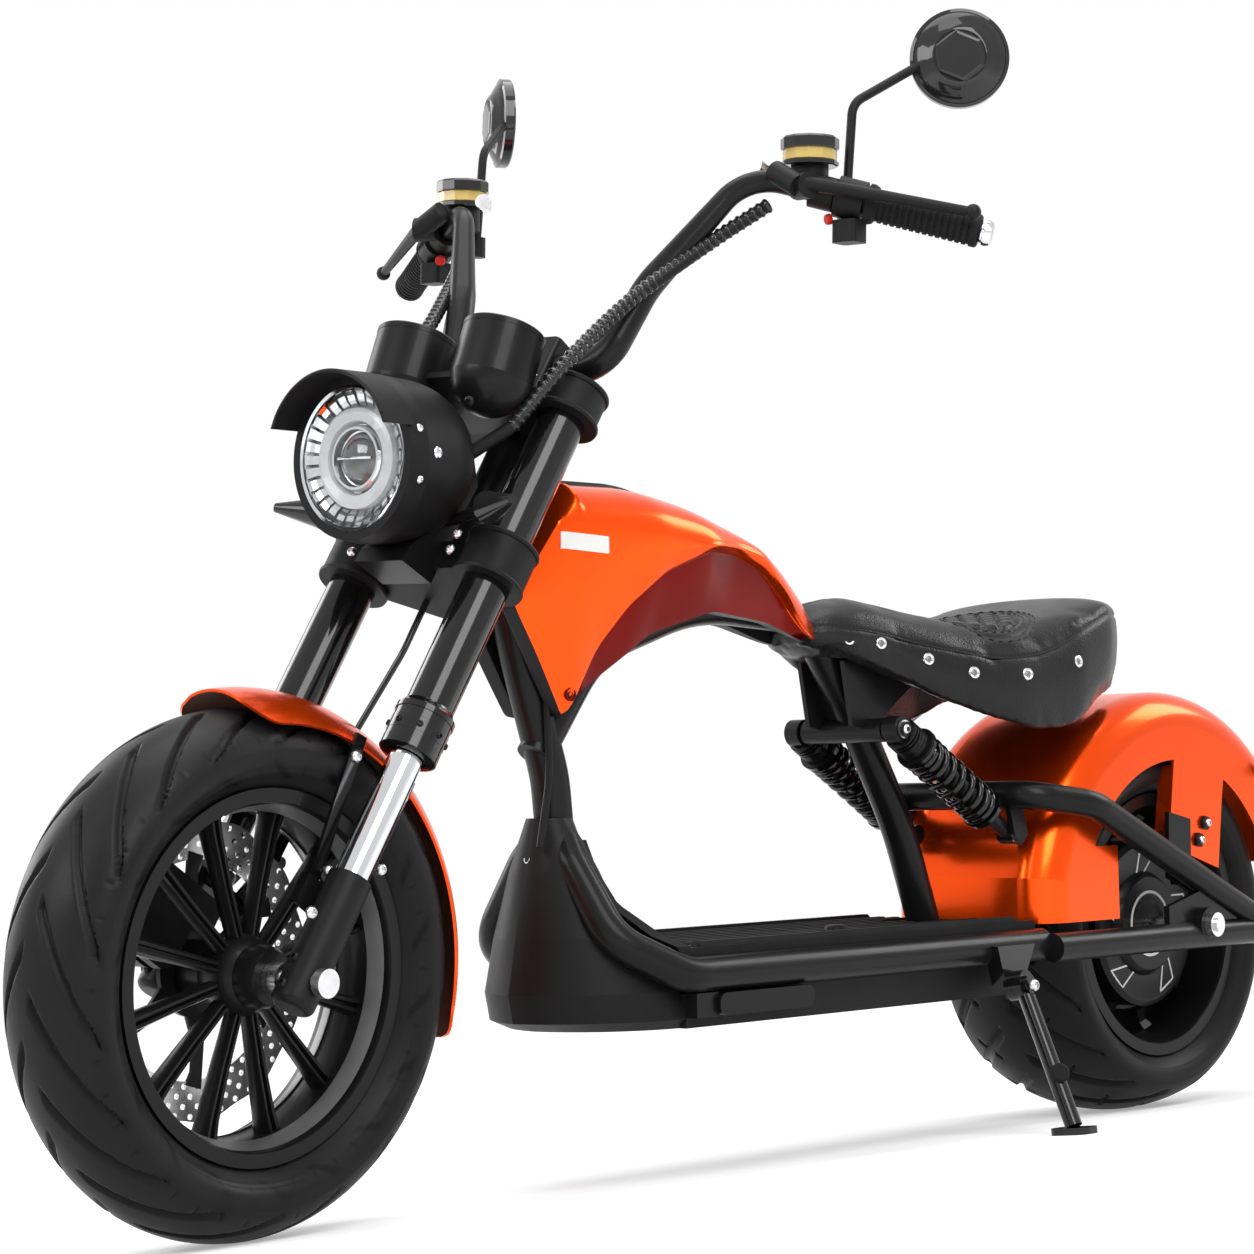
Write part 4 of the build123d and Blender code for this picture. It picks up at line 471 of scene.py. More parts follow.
clear_lens = make_finish("clear lens", (0.97, 0.98, 0.98), 0.04, 0, 0, (10, 0.02), Transmission_Weight=1.0, IOR=1.3,
                         Specular_IOR_Level=0.5)
smoked_lens = make_finish("smoked lens", (0.03, 0.03, 0.032), 0.1, 0, 1, (20, 0.1), Specular_IOR_Level=0.5)
white_label = make_finish("blank label", (0.78, 0.78, 0.76), 0.4, 0, 0.3, (40, 0.03))
red_button = make_finish("red button", (0.55, 0.02, 0.012), 0.35, 0, 0, (60, 0.1))
print(len(bpy.data.materials), "finishes")

# %% [markdown]
# ## Finishes for the solids that stay
# Tubes, castings and axles are already the right shape. They keep their own meshes and only get
# the finish of the real piece. The pieces made later stand in for the others.

# %% Dress the solids
NODE_FINISHES = [
    (rubber, "front_tyre rear_tyre"), (candy, "tank_body rear_fender front_fender"), (red_lens, "tail_lamp"),
    (gloss_black, "front_rim rear_rim fork_tubes shock_springs fender_straps side_stand stand_bracket"),
    (satin_black, "hub_motor main_frame rear_swingarm battery deck_plate seat_pan shock_bodies headlamp_bracket "
                  "instrument_pods pod_bracket handlebar risers foot_pegs"),
    (matt_black, "triple_clamps headlamp_shell"), (cast_black, "fork_lowers front_caliper rear_caliper"),
    (bright_steel, "front_disc rear_disc front_axle rear_axle"), (chrome, "stanchions bar_ends"),
    (black_plastic, "belly_tray tank_strip controls mirrors harness frame_cable"), (leather, "seat"),
    (gloss_plastic, "rear_signals front_signals brake_hose"), (grip_rubber, "deck_mat grips"),
    (reflector_metal, "headlamp_reflector"), (clear_lens, "headlamp_lens"), (amber_fluid, "reservoirs"),
    (mirror_face, "mirror_glass"),
]
undressed = set(frame["nodes"])
for finish, names in NODE_FINISHES:
    for name in names.split():
        solid = frame["nodes"][name]
        for slot in solid.material_slots:
            slot.material = finish
        if not solid.material_slots:
            solid.data.materials.append(finish)
        undressed.remove(name)
print(sorted(undressed), "have no finish yet")

# %% [markdown]
# ## Tyres
# The front tyre is a fat round one with slash grooves that sweep back from the crown; the rear is
# wider still. A tyre could be a plain torus with a bump texture, but its grooves show at the edge
# of the picture, so here they are cut into the surface: the grid is fine enough to push its points
# inwards wherever a slash runs.

# %% Tyre surface
SHOULDER_SHARE = 0.86
OUTSIDE_RIMS = 190


def slash(angle, across, pitch, sweep, width, start, end, lead):
    """How deep a slanted groove is at an angle round the tyre and a place across it, from 0 to 1:
    one less the distance from the nearest slanted line over its half width, faded at both ends."""
    line = (angle + sweep * across + lead * across**2) % pitch
    off = np.abs(line - pitch / 2)
    depth = np.clip(1.6 - off / width, 0, 1)
    return depth * np.clip((across - start) / 0.05, 0, 1) * np.clip((end - across) / 0.05, 0, 1)


def tyre_grid(centre, radius, half, crown_r, flange_r, bead_x, slashes, steps, rows):
    """A tyre: its section is an arc over the crown, another round each wall to the bead; the angle
    carries it round, and the slashes push it inwards by their depth."""
    shoulder_x = SHOULDER_SHARE * half
    shoulder_r = radius - crown_r + np.sqrt(crown_r**2 - shoulder_x**2)
    bulge_r = (shoulder_r + flange_r) / 2
    t = np.linspace(-1, 1, rows)
    crown_x = shoulder_x * t
    crown_y = radius - crown_r + np.sqrt(crown_r**2 - crown_x**2)
    wall = np.linspace(0, 1, 26)[1:]
    wall_x, wall_y = ((1 - wall)**2 * first + 2 * (1 - wall) * wall * (2 * bulge - (first + last) / 2) + wall**2 * last
                      for first, bulge, last in ((shoulder_x, half, bead_x), (shoulder_r, bulge_r, flange_r)))
    ridges = 0.9 * (bell(wall - 0.30, 0.02) + bell(wall - 0.72, 0.02))
    x = np.concatenate([-wall_x[::-1] - ridges[::-1], crown_x, wall_x + ridges])
    y = np.concatenate([wall_y[::-1], crown_y, wall_y])
    across = np.concatenate([1 + wall[::-1], np.abs(t), 1 + wall])
    side = np.sign(x)
    angle = np.linspace(0, 2 * np.pi, steps, endpoint=False)[:, None]
    sunk = np.zeros((steps, len(x)))
    for pitch, sweep, width, start, end, depth, lead in slashes:
        shifted = angle + np.where(side > 0, 0, pitch / 2)[None, :]
        sunk = np.maximum(sunk, depth * slash(shifted, across[None, :], pitch, sweep, width, start, end, lead))
    rounds = y[None, :] - sunk
    sides = x[None, :] - side[None, :] * sunk * np.clip(across - 1, 0, 1)[None, :]
    return np.stack([centre[0] + sides, centre[1] + rounds * np.sin(angle), centre[2] + rounds * np.cos(angle)], -1)


def tyre_patches(centre, radius, half, crown_r, seat_r, flange_r, bead_x, slashes, steps, rows):
    """The outer surface and the hidden inner band from bead to bead, joined at the beads."""
    outer = tyre_grid(centre, radius, half, crown_r, flange_r, bead_x, slashes, steps, rows)
    inner_x = np.array([bead_x, bead_x, -bead_x, -bead_x])
    inner_y = np.array([flange_r, seat_r, seat_r, flange_r])
    angle = np.linspace(0, 2 * np.pi, steps, endpoint=False)[:, None]
    inner = np.stack([np.broadcast_to(centre[0] + inner_x, (steps, 4)), centre[1] + inner_y * np.sin(angle),
                      centre[2] + inner_y * np.cos(angle)], -1)
    return [patch(outer, wrap_rows=True), patch(inner, wrap_rows=True)]


tread_with_painted_groove_shade = make_finish("tread rubber painted groove shade", black(0.009), 0.44, 0, 0, (16, 0.2), (grain, 0.0002, 420))
tread_tree = tread_with_painted_groove_shade.node_tree
# The groove depth darkens the rubber's colour down to an eighth in the slashes: painted shade in the grooves.
groove = add_node(tread_tree, "ShaderNodeAttribute")
groove.attribute_name = "groove"
groove_painted_shade = add_node(tread_tree, "ShaderNodeMapRange", Value=groove.outputs["Fac"], To_Min=1.0, To_Max=0.12)
tread_colour = tread_tree.nodes["Principled BSDF"].inputs["Base Color"]
shade = add_node(tread_tree, "ShaderNodeVectorMath", "SCALE", Vector=tread_colour.links[0].from_socket,
                 Scale=groove_painted_shade.outputs["Result"])
feed(tread_tree, tread_colour, shade.outputs["Vector"])


def mark_grooves(piece, body, centre, half, slashes):
    """Give each point of a tyre how deep in a slash it lies, from 0 to 1, where the rubber's colour is darkened as
    painted shade.
    """
    x, y, z = (upright(mesh_points(piece.data), body) - centre).T
    angle, across = np.arctan2(y, z), np.abs(x) / (SHOULDER_SHARE * half)
    depth = np.zeros(len(x))
    for pitch, sweep, width, start, end, _, lead in slashes:
        depth = np.maximum(depth, slash(angle + np.where(x > 0, 0, pitch / 2), across, pitch, sweep, width, start,
                                        end, lead))
    depth *= np.hypot(y, z) > OUTSIDE_RIMS
    piece.data.attributes.new("groove", "FLOAT", "POINT").data.foreach_set("value", depth)


FULL = 2 * np.pi
FRONT_TYRE = {
    "radius": 257, "half": 65, "crown_r": 82, "seat_r": 172.3, "flange_r": 181, "bead_x": 41.7, "steps": 640,
    "rows": 97, "slashes": [(FULL / 18, 0.30, 0.026, 0.08, 1.18, 5.5, 0.16),
                            (FULL / 18, 0.44, 0.014, 0.40, 0.86, 4.5, -0.05),
                            (FULL / 44, 0.05, 0.006, 1.02, 1.14, 2.0, 0.0)]}
REAR_TYRE = {
    "radius": 237, "half": 106, "crown_r": 200, "seat_r": 155.3, "flange_r": 165, "bead_x": 84.7, "steps": 560,
    "rows": 121, "slashes": [(FULL / 18, 0.30, 0.028, 0.10, 1.14, 5.5, 0.12),
                             (FULL / 18, -0.30, 0.011, 0.35, 0.72, 3.5, 0.0)]}
for name, body, axle, size in (("front_tyre", "front_wheel", FRONT_AXLE, FRONT_TYRE),
                               ("rear_tyre", "rear_wheel", REAR_AXLE, REAR_TYRE)):
    tyre = make_piece(name + "_dressed", body, tyre_patches(axle, **size), tread_with_painted_groove_shade, "tyre_rubber", [name],
                      sharp=40)
    mark_grooves(tyre, body, axle, size["half"], size["slashes"])
print("tyres", pieces_made[-2:])

# %% [markdown]
# ## Screws
# The scooter is held together by button-head screws with a hex socket. They are tiny, so each has
# only a few dozen faces: a domed head turned about its axis, with the socket sunk into it.

# %% A screw head
def screw(centre, axis, radius=5.0, height=3.5):
    """A button head: radius over height along the axis, then down into a six-sided socket."""
    profile = [(-0.5, 0), (-0.5, radius), (0.35 * height, radius), (0.8 * height, 0.8 * radius),
               (height, 0.56 * radius)]
    head = turned(profile, centre, axis, 18)
    socket = turned([(height, 0.56 * radius), (height, 0.48 * radius), (0.4 * height, 0.44 * radius),
                     (0.4 * height, 0)], centre, axis, 18)
    return [head, socket]


def screws(spots, axis, radius=5.0, height=3.5):
    """A set of screws that point the same way."""
    return [one for spot in spots for one in screw(spot, axis, radius, height)]


# %% [markdown]
# ## Front wheel
# The wheel is one black casting: a barrel, a hub that stands out on the left, and twelve spokes.
# Each spoke is a pair of ridges with a valley between them, so it is a small W carried outwards.

# %% Rim, spokes and hub of the front wheel
def round_axle(profile, axle, steps):
    """A closed section of (across, radius) turned round a wheel's axle."""
    return turned(profile, axle, ACROSS, steps, closed=True)


def wheel_ways(degrees):
    """The ways outward and onward at an angle round an axle."""
    angle = np.radians(degrees)
    return np.array([0, np.cos(angle), np.sin(angle)]), np.array([0, -np.sin(angle), np.cos(angle)])


def rim_band(centre, seat_r, flange_r, half, wall=7, flange=5, bead=2.5):
    """The barrel's section, a closed loop of (across, radius), turned round the axle."""
    loop = [(-half, flange_r), (-half + flange, flange_r), (-half + flange, seat_r), (half - flange, seat_r),
            (half - flange, flange_r), (half, flange_r), (half, seat_r - wall + bead), (half - 4, seat_r - wall),
            (half - 12, seat_r - wall), (half - 22, seat_r - wall - 6), (-half + 22, seat_r - wall - 6),
            (-half + 12, seat_r - wall), (-half + 4, seat_r - wall), (-half, seat_r - wall + bead)]
    return round_axle(loop, centre, 144)


ridge_half, ridge_top, valley = 7.5, 10.0, 4.0
SPOKE_SECTION = [(ridge_half, 5), (5, ridge_top), (2.2, ridge_top - 0.6), (1.2, valley), (-1.2, valley),
                 (-2.2, ridge_top - 0.6), (-5, ridge_top), (-ridge_half, 5), (-ridge_half, -5), (-5, -ridge_top),
                 (-2.2, 0.6 - ridge_top), (-1.2, -valley), (1.2, -valley), (2.2, 0.6 - ridge_top), (5, -ridge_top),
                 (ridge_half, -5)]
front_wheel_parts = [rim_band(FRONT_AXLE, 172, 181, 47)]
for turn_number in range(12):
    outward, _ = wheel_ways(15 + 30 * turn_number)
    reach = np.array([22, 40, 90, 140, 160])
    lean = np.array([14, 10, 6, 4, 4])
    path = FRONT_AXLE + reach[:, None] * outward + lean[:, None] * np.array([1, 0, 0])
    front_wheel_parts.append(carried(path, SPOKE_SECTION, ACROSS, [0.85, 0.85, 0.95, 1.1, 1.3]))
hub_profile = [(-54, 10.2), (-54, 27), (-50, 30), (-20, 30), (-14, 34), (14, 40), (22, 38), (30, 31), (46, 30),
               (54, 26), (54, 10.2)]
front_wheel_parts.append(round_axle(hub_profile, FRONT_AXLE, 64))
make_piece("front_wheel_casting", "front_wheel", front_wheel_parts, satin_black, "cast_black", ["front_rim"])

band_profile = [(39, 165.5), (25, 159.2), (22, 158.6), (22, 158.0), (25, 158.6), (39, 164.9)]
make_piece("front_wheel_grey_band", "front_wheel",
           [round_axle(band_profile, FRONT_AXLE, 144),
            round_axle([(-a, r) for a, r in band_profile], FRONT_AXLE, 144)],
           satin_grey, "cast_black")

# %% [markdown]
# ## Brake discs
# A disc is a thin ring of bright steel, pierced by rows of holes that lean back. Holes could be cut
# with a boolean, which leaves long thin faces. Here the ring is made of small cells, each with its
# own round hole, and neighbouring cells share the points of their edges.

# %% Pierced discs
CELL_POINTS = 24


def pierced_disc(name, body, node, centre, disc_x, inner, outer, spokes, rows, lean, thick=4, hole=3.1):
    """Cells in (angle, radius): round each hole the points of a circle run straight out to the cell's edge,
    which is a square of the grid; the angle leans with the radius and the outer edge waves."""
    def on_disc(angle, share):
        turned_to = angle + lean * share
        radius = inner + (outer - inner) * share + 2.0 * np.sin(12 * turned_to) * share**3
        return radius[..., None] * np.stack([np.cos(turned_to), np.sin(turned_to)], -1)

    def at(side, places):
        x = np.full(places.shape[:-1] + (1,), disc_x + side * thick / 2)
        return centre + np.concatenate([x, places], -1)

    step = 2 * np.pi / spokes
    number, row = np.meshgrid(np.arange(spokes), np.arange(rows), indexing="ij")
    angle, share = (number.ravel() * step)[:, None], ((row.ravel() + 0.5) / rows)[:, None]
    around = np.linspace(0, 2 * np.pi, CELL_POINTS, endpoint=False)[None, :]
    circle = np.stack([np.cos(around), np.sin(around)], -1)
    square = circle / np.abs(circle).max(-1, keepdims=True)
    edge = on_disc(angle + square[..., 0] * step / 2, share + square[..., 1] / (2 * rows))
    middle = on_disc(angle, share)
    outward = unit(middle)
    sideways = np.stack([-outward[..., 1], outward[..., 0]], -1)
    rim = middle + hole * (circle[..., :1] * sideways + circle[..., 1:] * outward)
    cells = [patch(np.stack(sheets), wrap_rows=True, wrap_columns=True) for sheets in
             zip(at(1, edge), at(1, rim), at(-1, rim), at(-1, edge))]
    cells = [(points, faces[:3 * CELL_POINTS]) for points, faces in cells]
    top = np.sort(square[0, np.isclose(square[0, :, 1], 1), 0])[:-1]
    round_angle = (np.arange(spokes)[:, None] * step + top * step / 2).ravel()
    for level in (np.zeros(1), np.ones(1)):
        line = on_disc(round_angle, level)
        cells.append(patch(np.stack([at(1, line), at(-1, line)]), wrap_columns=True))
    return make_piece(name, body, cells, bright_steel, "bright_steel", [node], sharp=25)


pierced_disc("front_disc_ring", "front_wheel", "front_disc", FRONT_AXLE, disc_x=-59, inner=108, outer=148,
             spokes=44, rows=4, lean=0.3)
carrier = [round_axle(collar(-61, -55, 14, 46), FRONT_AXLE, 64)]
for arm in range(6):
    outward, onward = wheel_ways(30 + 60 * arm)
    path = (FRONT_AXLE + np.array([-58, 0, 0]) + np.array([40, 70, 100, 114])[:, None] * outward
            + np.array([0, 6, 4, 0])[:, None] * onward)
    carrier.append(carried(path, [(9, -2), (9, 2), (-9, 2), (-9, -2)], ACROSS, [1.2, 0.8, 0.8, 1.1]))
carrier.append(round_axle(collar(-57, -54.4, 14, 30), FRONT_AXLE, 48))
make_piece("front_disc_carrier", "front_wheel", carrier, satin_black, "cast_black")
pierced_disc("rear_disc_ring", "rear_wheel", "rear_disc", REAR_AXLE, disc_x=-82, inner=62, outer=94, spokes=28,
             rows=3, lean=0.35)
rear_carrier = [round_axle(collar(-84, -80, 15, 66), REAR_AXLE, 64),
                round_axle(collar(-80, -75.2, 15, 28), REAR_AXLE, 48)]
make_piece("rear_disc_carrier", "rear_wheel", rear_carrier, satin_black, "cast_black")

# %% [markdown]
# ## Rear wheel
# The motor sits inside the hub, a flat drum with a stepped cover. White pinstripes run round it:
# a ring by the axle and outlined blades further out, all plain lines laid just proud of the cover.

# %% Rear rim, motor cover and pinstripes
rear_parts = [rim_band(REAR_AXLE, 155, 165, 90)]
for blade in range(10):
    outward, _ = wheel_ways(36 * blade)
    path = REAR_AXLE + np.array([104, 118, 134, 144])[:, None] * outward
    rear_parts.append(carried(path, [(8, -33), (8, 33), (-8, 33), (-8, -33)], ACROSS, [1.2, 0.9, 0.9, 1.15]))
rear_parts.append(round_axle(collar(-33, 33, 104.3, 109), REAR_AXLE, 96))
make_piece("rear_wheel_casting", "rear_wheel", rear_parts, satin_black, "cast_black", ["rear_rim"])
motor_profile = [(66, 104), (69, 98), (66, 92), (66, 66), (72, 62), (75, 58), (75, 30), (72, 26), (72, 9.3)]
motor_loop = [(-a, r) for a, r in reversed(motor_profile)] + motor_profile
make_piece("hub_motor_case", "rear_wheel", [round_axle(motor_loop, REAR_AXLE, 120)], satin_black, "cast_black",
           ["hub_motor"])


COVER_X, CROSS_BAR = 66.3, 0.8


def laid_line(corners, width=2.2, thick=0.5):
    """A flat painted line through (rearward, upward) corners on the motor cover."""
    path = np.array([[COVER_X, y, z] for y, z in corners]) + REAR_AXLE
    section = [(width / 2, -thick), (width / 2, thick), (-width / 2, thick), (-width / 2, -thick)]
    return carried(path, section, ACROSS)


stripes = [round_axle([(74.8, 38), (75.6, 38), (75.6, 41.5), (74.8, 41.5)], REAR_AXLE, 80)]
for blade in range(5):
    base = np.radians(90 + 72 * blade)
    corners = [(64, -0.02), (101, -0.34), (101, 0.02), (64, 0.22)]
    outline_points = [(r * np.cos(base + a), r * np.sin(base + a)) for r, a in corners]
    for start, end in zip(outline_points, outline_points[1:] + outline_points[:1]):
        stripes.append(laid_line([start, end]))
    near, far = [np.array(outline_points[a]) * (1 - CROSS_BAR) + np.array(outline_points[b]) * CROSS_BAR
                 for a, b in ((0, 1), (3, 2))]
    stripes.append(laid_line([near, far]))
make_piece("hub_pinstripes", "rear_wheel", stripes, white_label, "cast_black")
print("wheels", pieces_made[-9:])

# %% [markdown]
# ## Tank cover
# The cover is a painted plastic shell pulled over the two top tubes. Its section changes all the
# way along: a crowned top, a shoulder, a flat side, then a sharp crease where a panel is sunk in;
# the sunk panel is coloured deep red as painted shade. So it is made by sections: five guide
# lines run from front to rear, and each section is drawn from one guide line to the next.

# %% Guide lines of the cover
tank_y = np.concatenate([np.linspace(-1066, -985, 28), np.linspace(-981, -600, 110), np.linspace(-598, -573, 12)])
front_edge = np.interp(tank_y, [-1071, -990], [625, 752])
top_z = np.minimum(front_edge, along_y([-1000, -940, -877, -814, -734, -650, -612, -590, -572],
                                       [751, 754, 750, 738, 713, 682, 656, 632, 604], tank_y))
shoulder_z = np.minimum(top_z - 1.5, along_y([-1066, -986, -880, -793, -743, -694, -649, -613, -572],
                                             [712, 706, 699, 689, 690, 681, 640, 600, 585], tank_y))
shoulder_x = along_y([-1071, -1040, -995, -880, -793, -743, -694, -640, -600, -572],
                     [44, 58, 70, 83, 83, 68, 62, 52, 44, 30], tank_y)
crease_z = np.minimum(shoulder_z - 1, along_y([-1071, -1025, -991, -957, -914, -862, -791, -740, -690, -640, -572],
                                              [500, 500, 508, 574, 622, 660, 686, 684, 668, 632, 578], tank_y, 6))
low_edge = np.interp(tank_y, [-1071, -1000], [625, 503])
low_z = np.maximum(low_edge, along_y([-1010, -996, -972, -944, -866, -770, -671, -602, -572],
                                     [500, 500, 522, 542, 592, 618, 608, 588, 584], tank_y, 8))
crease_z = np.maximum(crease_z, low_z + 0.6)
shoulder_z = np.maximum(shoulder_z, crease_z + 0.6)
low_x = along_y([-1071, -1000, -960, -900, -770, -640, -572], [26, 27, 34, 44, 50, 36, 27], tank_y)
split_x = np.where(tank_y < -985, 24.0, 0.0)
roof_z = np.where(tank_y < -985, top_z - 1.0, np.minimum(low_z + 30, top_z - 6))

# %% Sections from line to line
span = np.linspace(0, 1, 15)[None, :]
quarter = np.radians(np.linspace(90, 0, 18))[None, :]


def column(values):
    """One value for each section, set up to meet a row of shares."""
    return values[:, None]


start_x = column(split_x)
dome_x = start_x + (column(shoulder_x) - start_x) * np.cos(quarter)**0.8
dome_z = column(shoulder_z) + column(top_z - shoulder_z) * np.sin(quarter)**1.05
crease_x = shoulder_x + (np.interp(tank_y, [-1071, -1000, -900, -790, -572], [0.0, -26, -14, -3, -3]))
flank_x = column(shoulder_x) + column(crease_x - shoulder_x) * span**1.15 + 1.6 * np.sin(np.pi * span)
flank_z = column(shoulder_z) + column(crease_z - shoulder_z) * span
sink = 8 * np.clip((crease_z - low_z - 2) / 30, 0, 1)
rim = np.linspace(0, 1, 5)[None, :]
rim_x = column(crease_x) - column(sink) * (0.5 - 0.5 * np.cos(np.pi * rim))
rim_z = column(crease_z) - column(np.minimum(4, (crease_z - low_z) * 0.2)) * rim
panel_x = rim_x[:, -1:] + (column(low_x) - rim_x[:, -1:]) * span**1.2
panel_z = rim_z[:, -1:] + (column(low_z) - rim_z[:, -1:]) * (1 - (1 - span)**1.1)


def section_grid(x, y, z):
    """A band of a form: its columns of x and z over the sections at y, never past the middle."""
    return np.stack([np.maximum(x, 0), np.broadcast_to(column(y), x.shape), z], -1)


under = np.stack([low_x, np.minimum(low_x - 2, 25), np.minimum(low_x - 2, 25), split_x], -1)
under_z = np.stack([low_z, low_z + 0.5, roof_z, roof_z], -1)
# Zone 1, the sunk panel, takes the deep red as painted shade.
bands = [(section_grid(x, tank_y, z), zone) for x, z, zone in
         ((dome_x, dome_z, 0), (flank_x, flank_z, 0), (rim_x, rim_z, 0), (panel_x, panel_z, 1), (under, under_z, 2))]
tank_patches = [(*patch(grid), zone) for grid, zone in bands]
shallow = np.repeat(sink[:-1] < 1.5, panel_x.shape[1] - 1)
tank_patches[3] = (*patch(bands[3][0]), np.where(shallow, 2, 1))
inner_wall = np.stack([np.stack([split_x, tank_y, z], -1) for z in (roof_z, top_z)], 1)
tank_patches.append((*patch(inner_wall[:28]), 2))
for end in (0, -1):
    loop = np.concatenate([grid[end] for grid, zone in bands])
    cap = np.stack([loop, np.broadcast_to(loop.mean(0), loop.shape)], 0)
    tank_patches.append((*patch(cap), 2))
make_pair("tank_cover", "root", tank_patches, [candy, candy_painted_shade, black_plastic], "orange_paint", ["tank_body"],
          sharp=38)

# %% [markdown]
# ## Trim on the tank cover
# A black strip hides the seam between the two halves of the cover. The left side also has a blank
# label, and each side has a screw in a sunk recess near the bottom tip.

# %% Strip, label and screws
strip_y = np.linspace(-982, -800, 40)
crown = np.interp(strip_y, tank_y, top_z)
half = np.interp(strip_y, [-982, -900, -800], [24, 22, 8])
strip_rows = []
for share in (-1, -0.9, -0.4, 0, 0.4, 0.9, 1):
    lift = np.where(abs(share) == 1, -4.0, 4.5 - 2.0 * share**2)
    strip_rows.append(np.stack([share * half, strip_y, crown + lift], -1))
strip_grid = np.stack(strip_rows, 1)
ends = [np.stack([strip_grid[i], np.repeat(strip_grid[i].mean(0)[None], 7, 0)]) for i in (0, -1)]
bottom = np.stack([strip_grid[:, 0], strip_grid[:, -1]], 1)
make_piece("tank_seam_strip", "root", [patch(strip_grid), patch(bottom)] + [patch(end) for end in ends],
           black_plastic, "black_plastic", ["tank_strip"])

label_y, label_share = np.meshgrid(np.linspace(-1016, -955, 22), np.linspace(0, 1, 6), indexing="ij")
label_x = np.interp(label_y, tank_y, flank_x[:, 2]) + 1.6
label_z = np.interp(label_y, tank_y, flank_z[:, 0]) - 12 - 18 * label_share
label_front = np.stack([label_x, label_y, label_z], -1)
label_back = label_front - np.array([3, 0, 0])
label_edge = np.stack([edge_of(label_front), edge_of(label_back)])
make_piece("tank_label", "root", [patch(label_front), patch(label_back), patch(label_edge, wrap_columns=True)],
           white_label, "gloss_plastic")
RECESS_Y, RECESS_COLUMN, PROUD = -992, 13, 0.2
i = np.argmin(np.abs(tank_y - RECESS_Y))
recess = np.array([flank_x[i, RECESS_COLUMN] + PROUD, tank_y[i], flank_z[i, RECESS_COLUMN]])
# The rings round each recess are coloured deep red: painted shade in the recess.
make_pair("tank_recess_rings", "root",
          [turned([(-3, 7.5), (0.8, 7.5), (0.8, 5.6), (-3, 5.0)], recess, ACROSS, 28, closed=True)], candy_painted_shade,
          "orange_paint")
make_pair("tank_screws", "root", screw(recess - np.array([1.5, 0, 0]), ACROSS, 4.6, 2.0), satin_black,
          "black_paint")
print("tank", pieces_made[-5:])

# %% [markdown]
# ## Seat
# The saddle is foam under stitched black leather: narrow at the tank, wide and dished at the rear,
# with a skirt hanging round the pan. It starts as a closed form a little too small, and Blender's
# cloth simulation blows it up so the leather looks stretched over foam. The seam, the quilted
# oval and the rivets come after that, because the simulation would wash them out.

# %% The form under the leather
seat_y = np.concatenate([np.linspace(-598, -588, 6), np.linspace(-582, -90, 90), np.linspace(-86, -52, 16)])
ridge_z = along_y([-604, -595, -580, -560, -514, -440, -349, -300, -231, -150, -90, -66, -50],
                  [600, 612, 622, 630, 636, 624, 608, 607, 621, 642, 645, 634, 600], seat_y, 9)
seam_z = along_y([-604, -580, -510, -433, -350, -290, -250, -208, -150, -90, -50],
                 [600, 606, 598, 580, 568, 570, 584, 604, 624, 622, 590], seat_y, 10)
seam_z = np.minimum(seam_z, ridge_z - 3)
seam_x = along_y([-606, -598, -585, -552, -480, -400, -320, -220, -150, -100, -70, -52, -44],
                 [8, 26, 42, 55, 70, 99, 126, 141, 134, 108, 78, 44, 10], seat_y, 7)
skirt_z = along_y([-604, -560, -488, -423, -360, -297, -240, -206, -161, -110, -70, -50],
                  [584, 574, 548, 518, 496, 480, 482, 494, 520, 530, 540, 556], seat_y, 10)
skirt_z = np.minimum(skirt_z, seam_z - 8)
pan_z = np.maximum(skirt_z + 0.5, np.where(seat_y < -575, skirt_z + 0.5, 577))
pan_z = np.where(seat_y > -74, np.minimum(pan_z, ridge_z - 10), pan_z)
wall = np.clip(seam_x * 0.3, 6, 15)


rise = np.radians(np.linspace(90, 0, 26))[None, :]
top_x = column(seam_x) * np.cos(rise)**0.9
dish = 1 - 0.55 * bell(column(seat_y) + 270, 80)
top_grid_z = column(seam_z) + column(ridge_z - seam_z) * np.sin(rise)**(0.9 * dish)
drop = np.linspace(0, 1, 16)[None, :]
skirt_x = column(seam_x) + 4 * np.sin(np.pi * drop**0.8) - 3 * drop**2
skirt_grid_z = column(seam_z) + column(skirt_z - seam_z) * drop
inside_x = np.stack([seam_x - 3, seam_x - 3 - wall / 2, seam_x - 3 - wall, seam_x - 3 - wall, 0 * seam_x], -1)
inside_z = np.stack([skirt_z, skirt_z - 1.5, skirt_z + 2, np.maximum(pan_z, skirt_z + 3),
                     np.maximum(pan_z, skirt_z + 3)], -1)


seat_bands = [section_grid(x, seat_y, z) for x, z in
              ((top_x, top_grid_z), (skirt_x, skirt_grid_z), (inside_x, inside_z))]
seat_patches = [patch(grid) for grid in seat_bands]
for end in (0, -1):
    loop = np.concatenate([grid[end] for grid in seat_bands])
    seat_patches.append(patch(np.stack([loop, np.broadcast_to(loop.mean(0) * [0, 1, 1], loop.shape)], 0)))
seat_cover = make_pair("seat_cover", "root", seat_patches, leather, "seat_leather", ["seat"], sharp=60)


# %% Blow the leather up over its foam
def apply_modifiers(piece):
    """Bake a piece's modifiers into its mesh."""
    graph = bpy.context.evaluated_depsgraph_get()
    baked = bpy.data.meshes.new_from_object(piece.evaluated_get(graph))
    piece.modifiers.clear()
    piece.data = baked


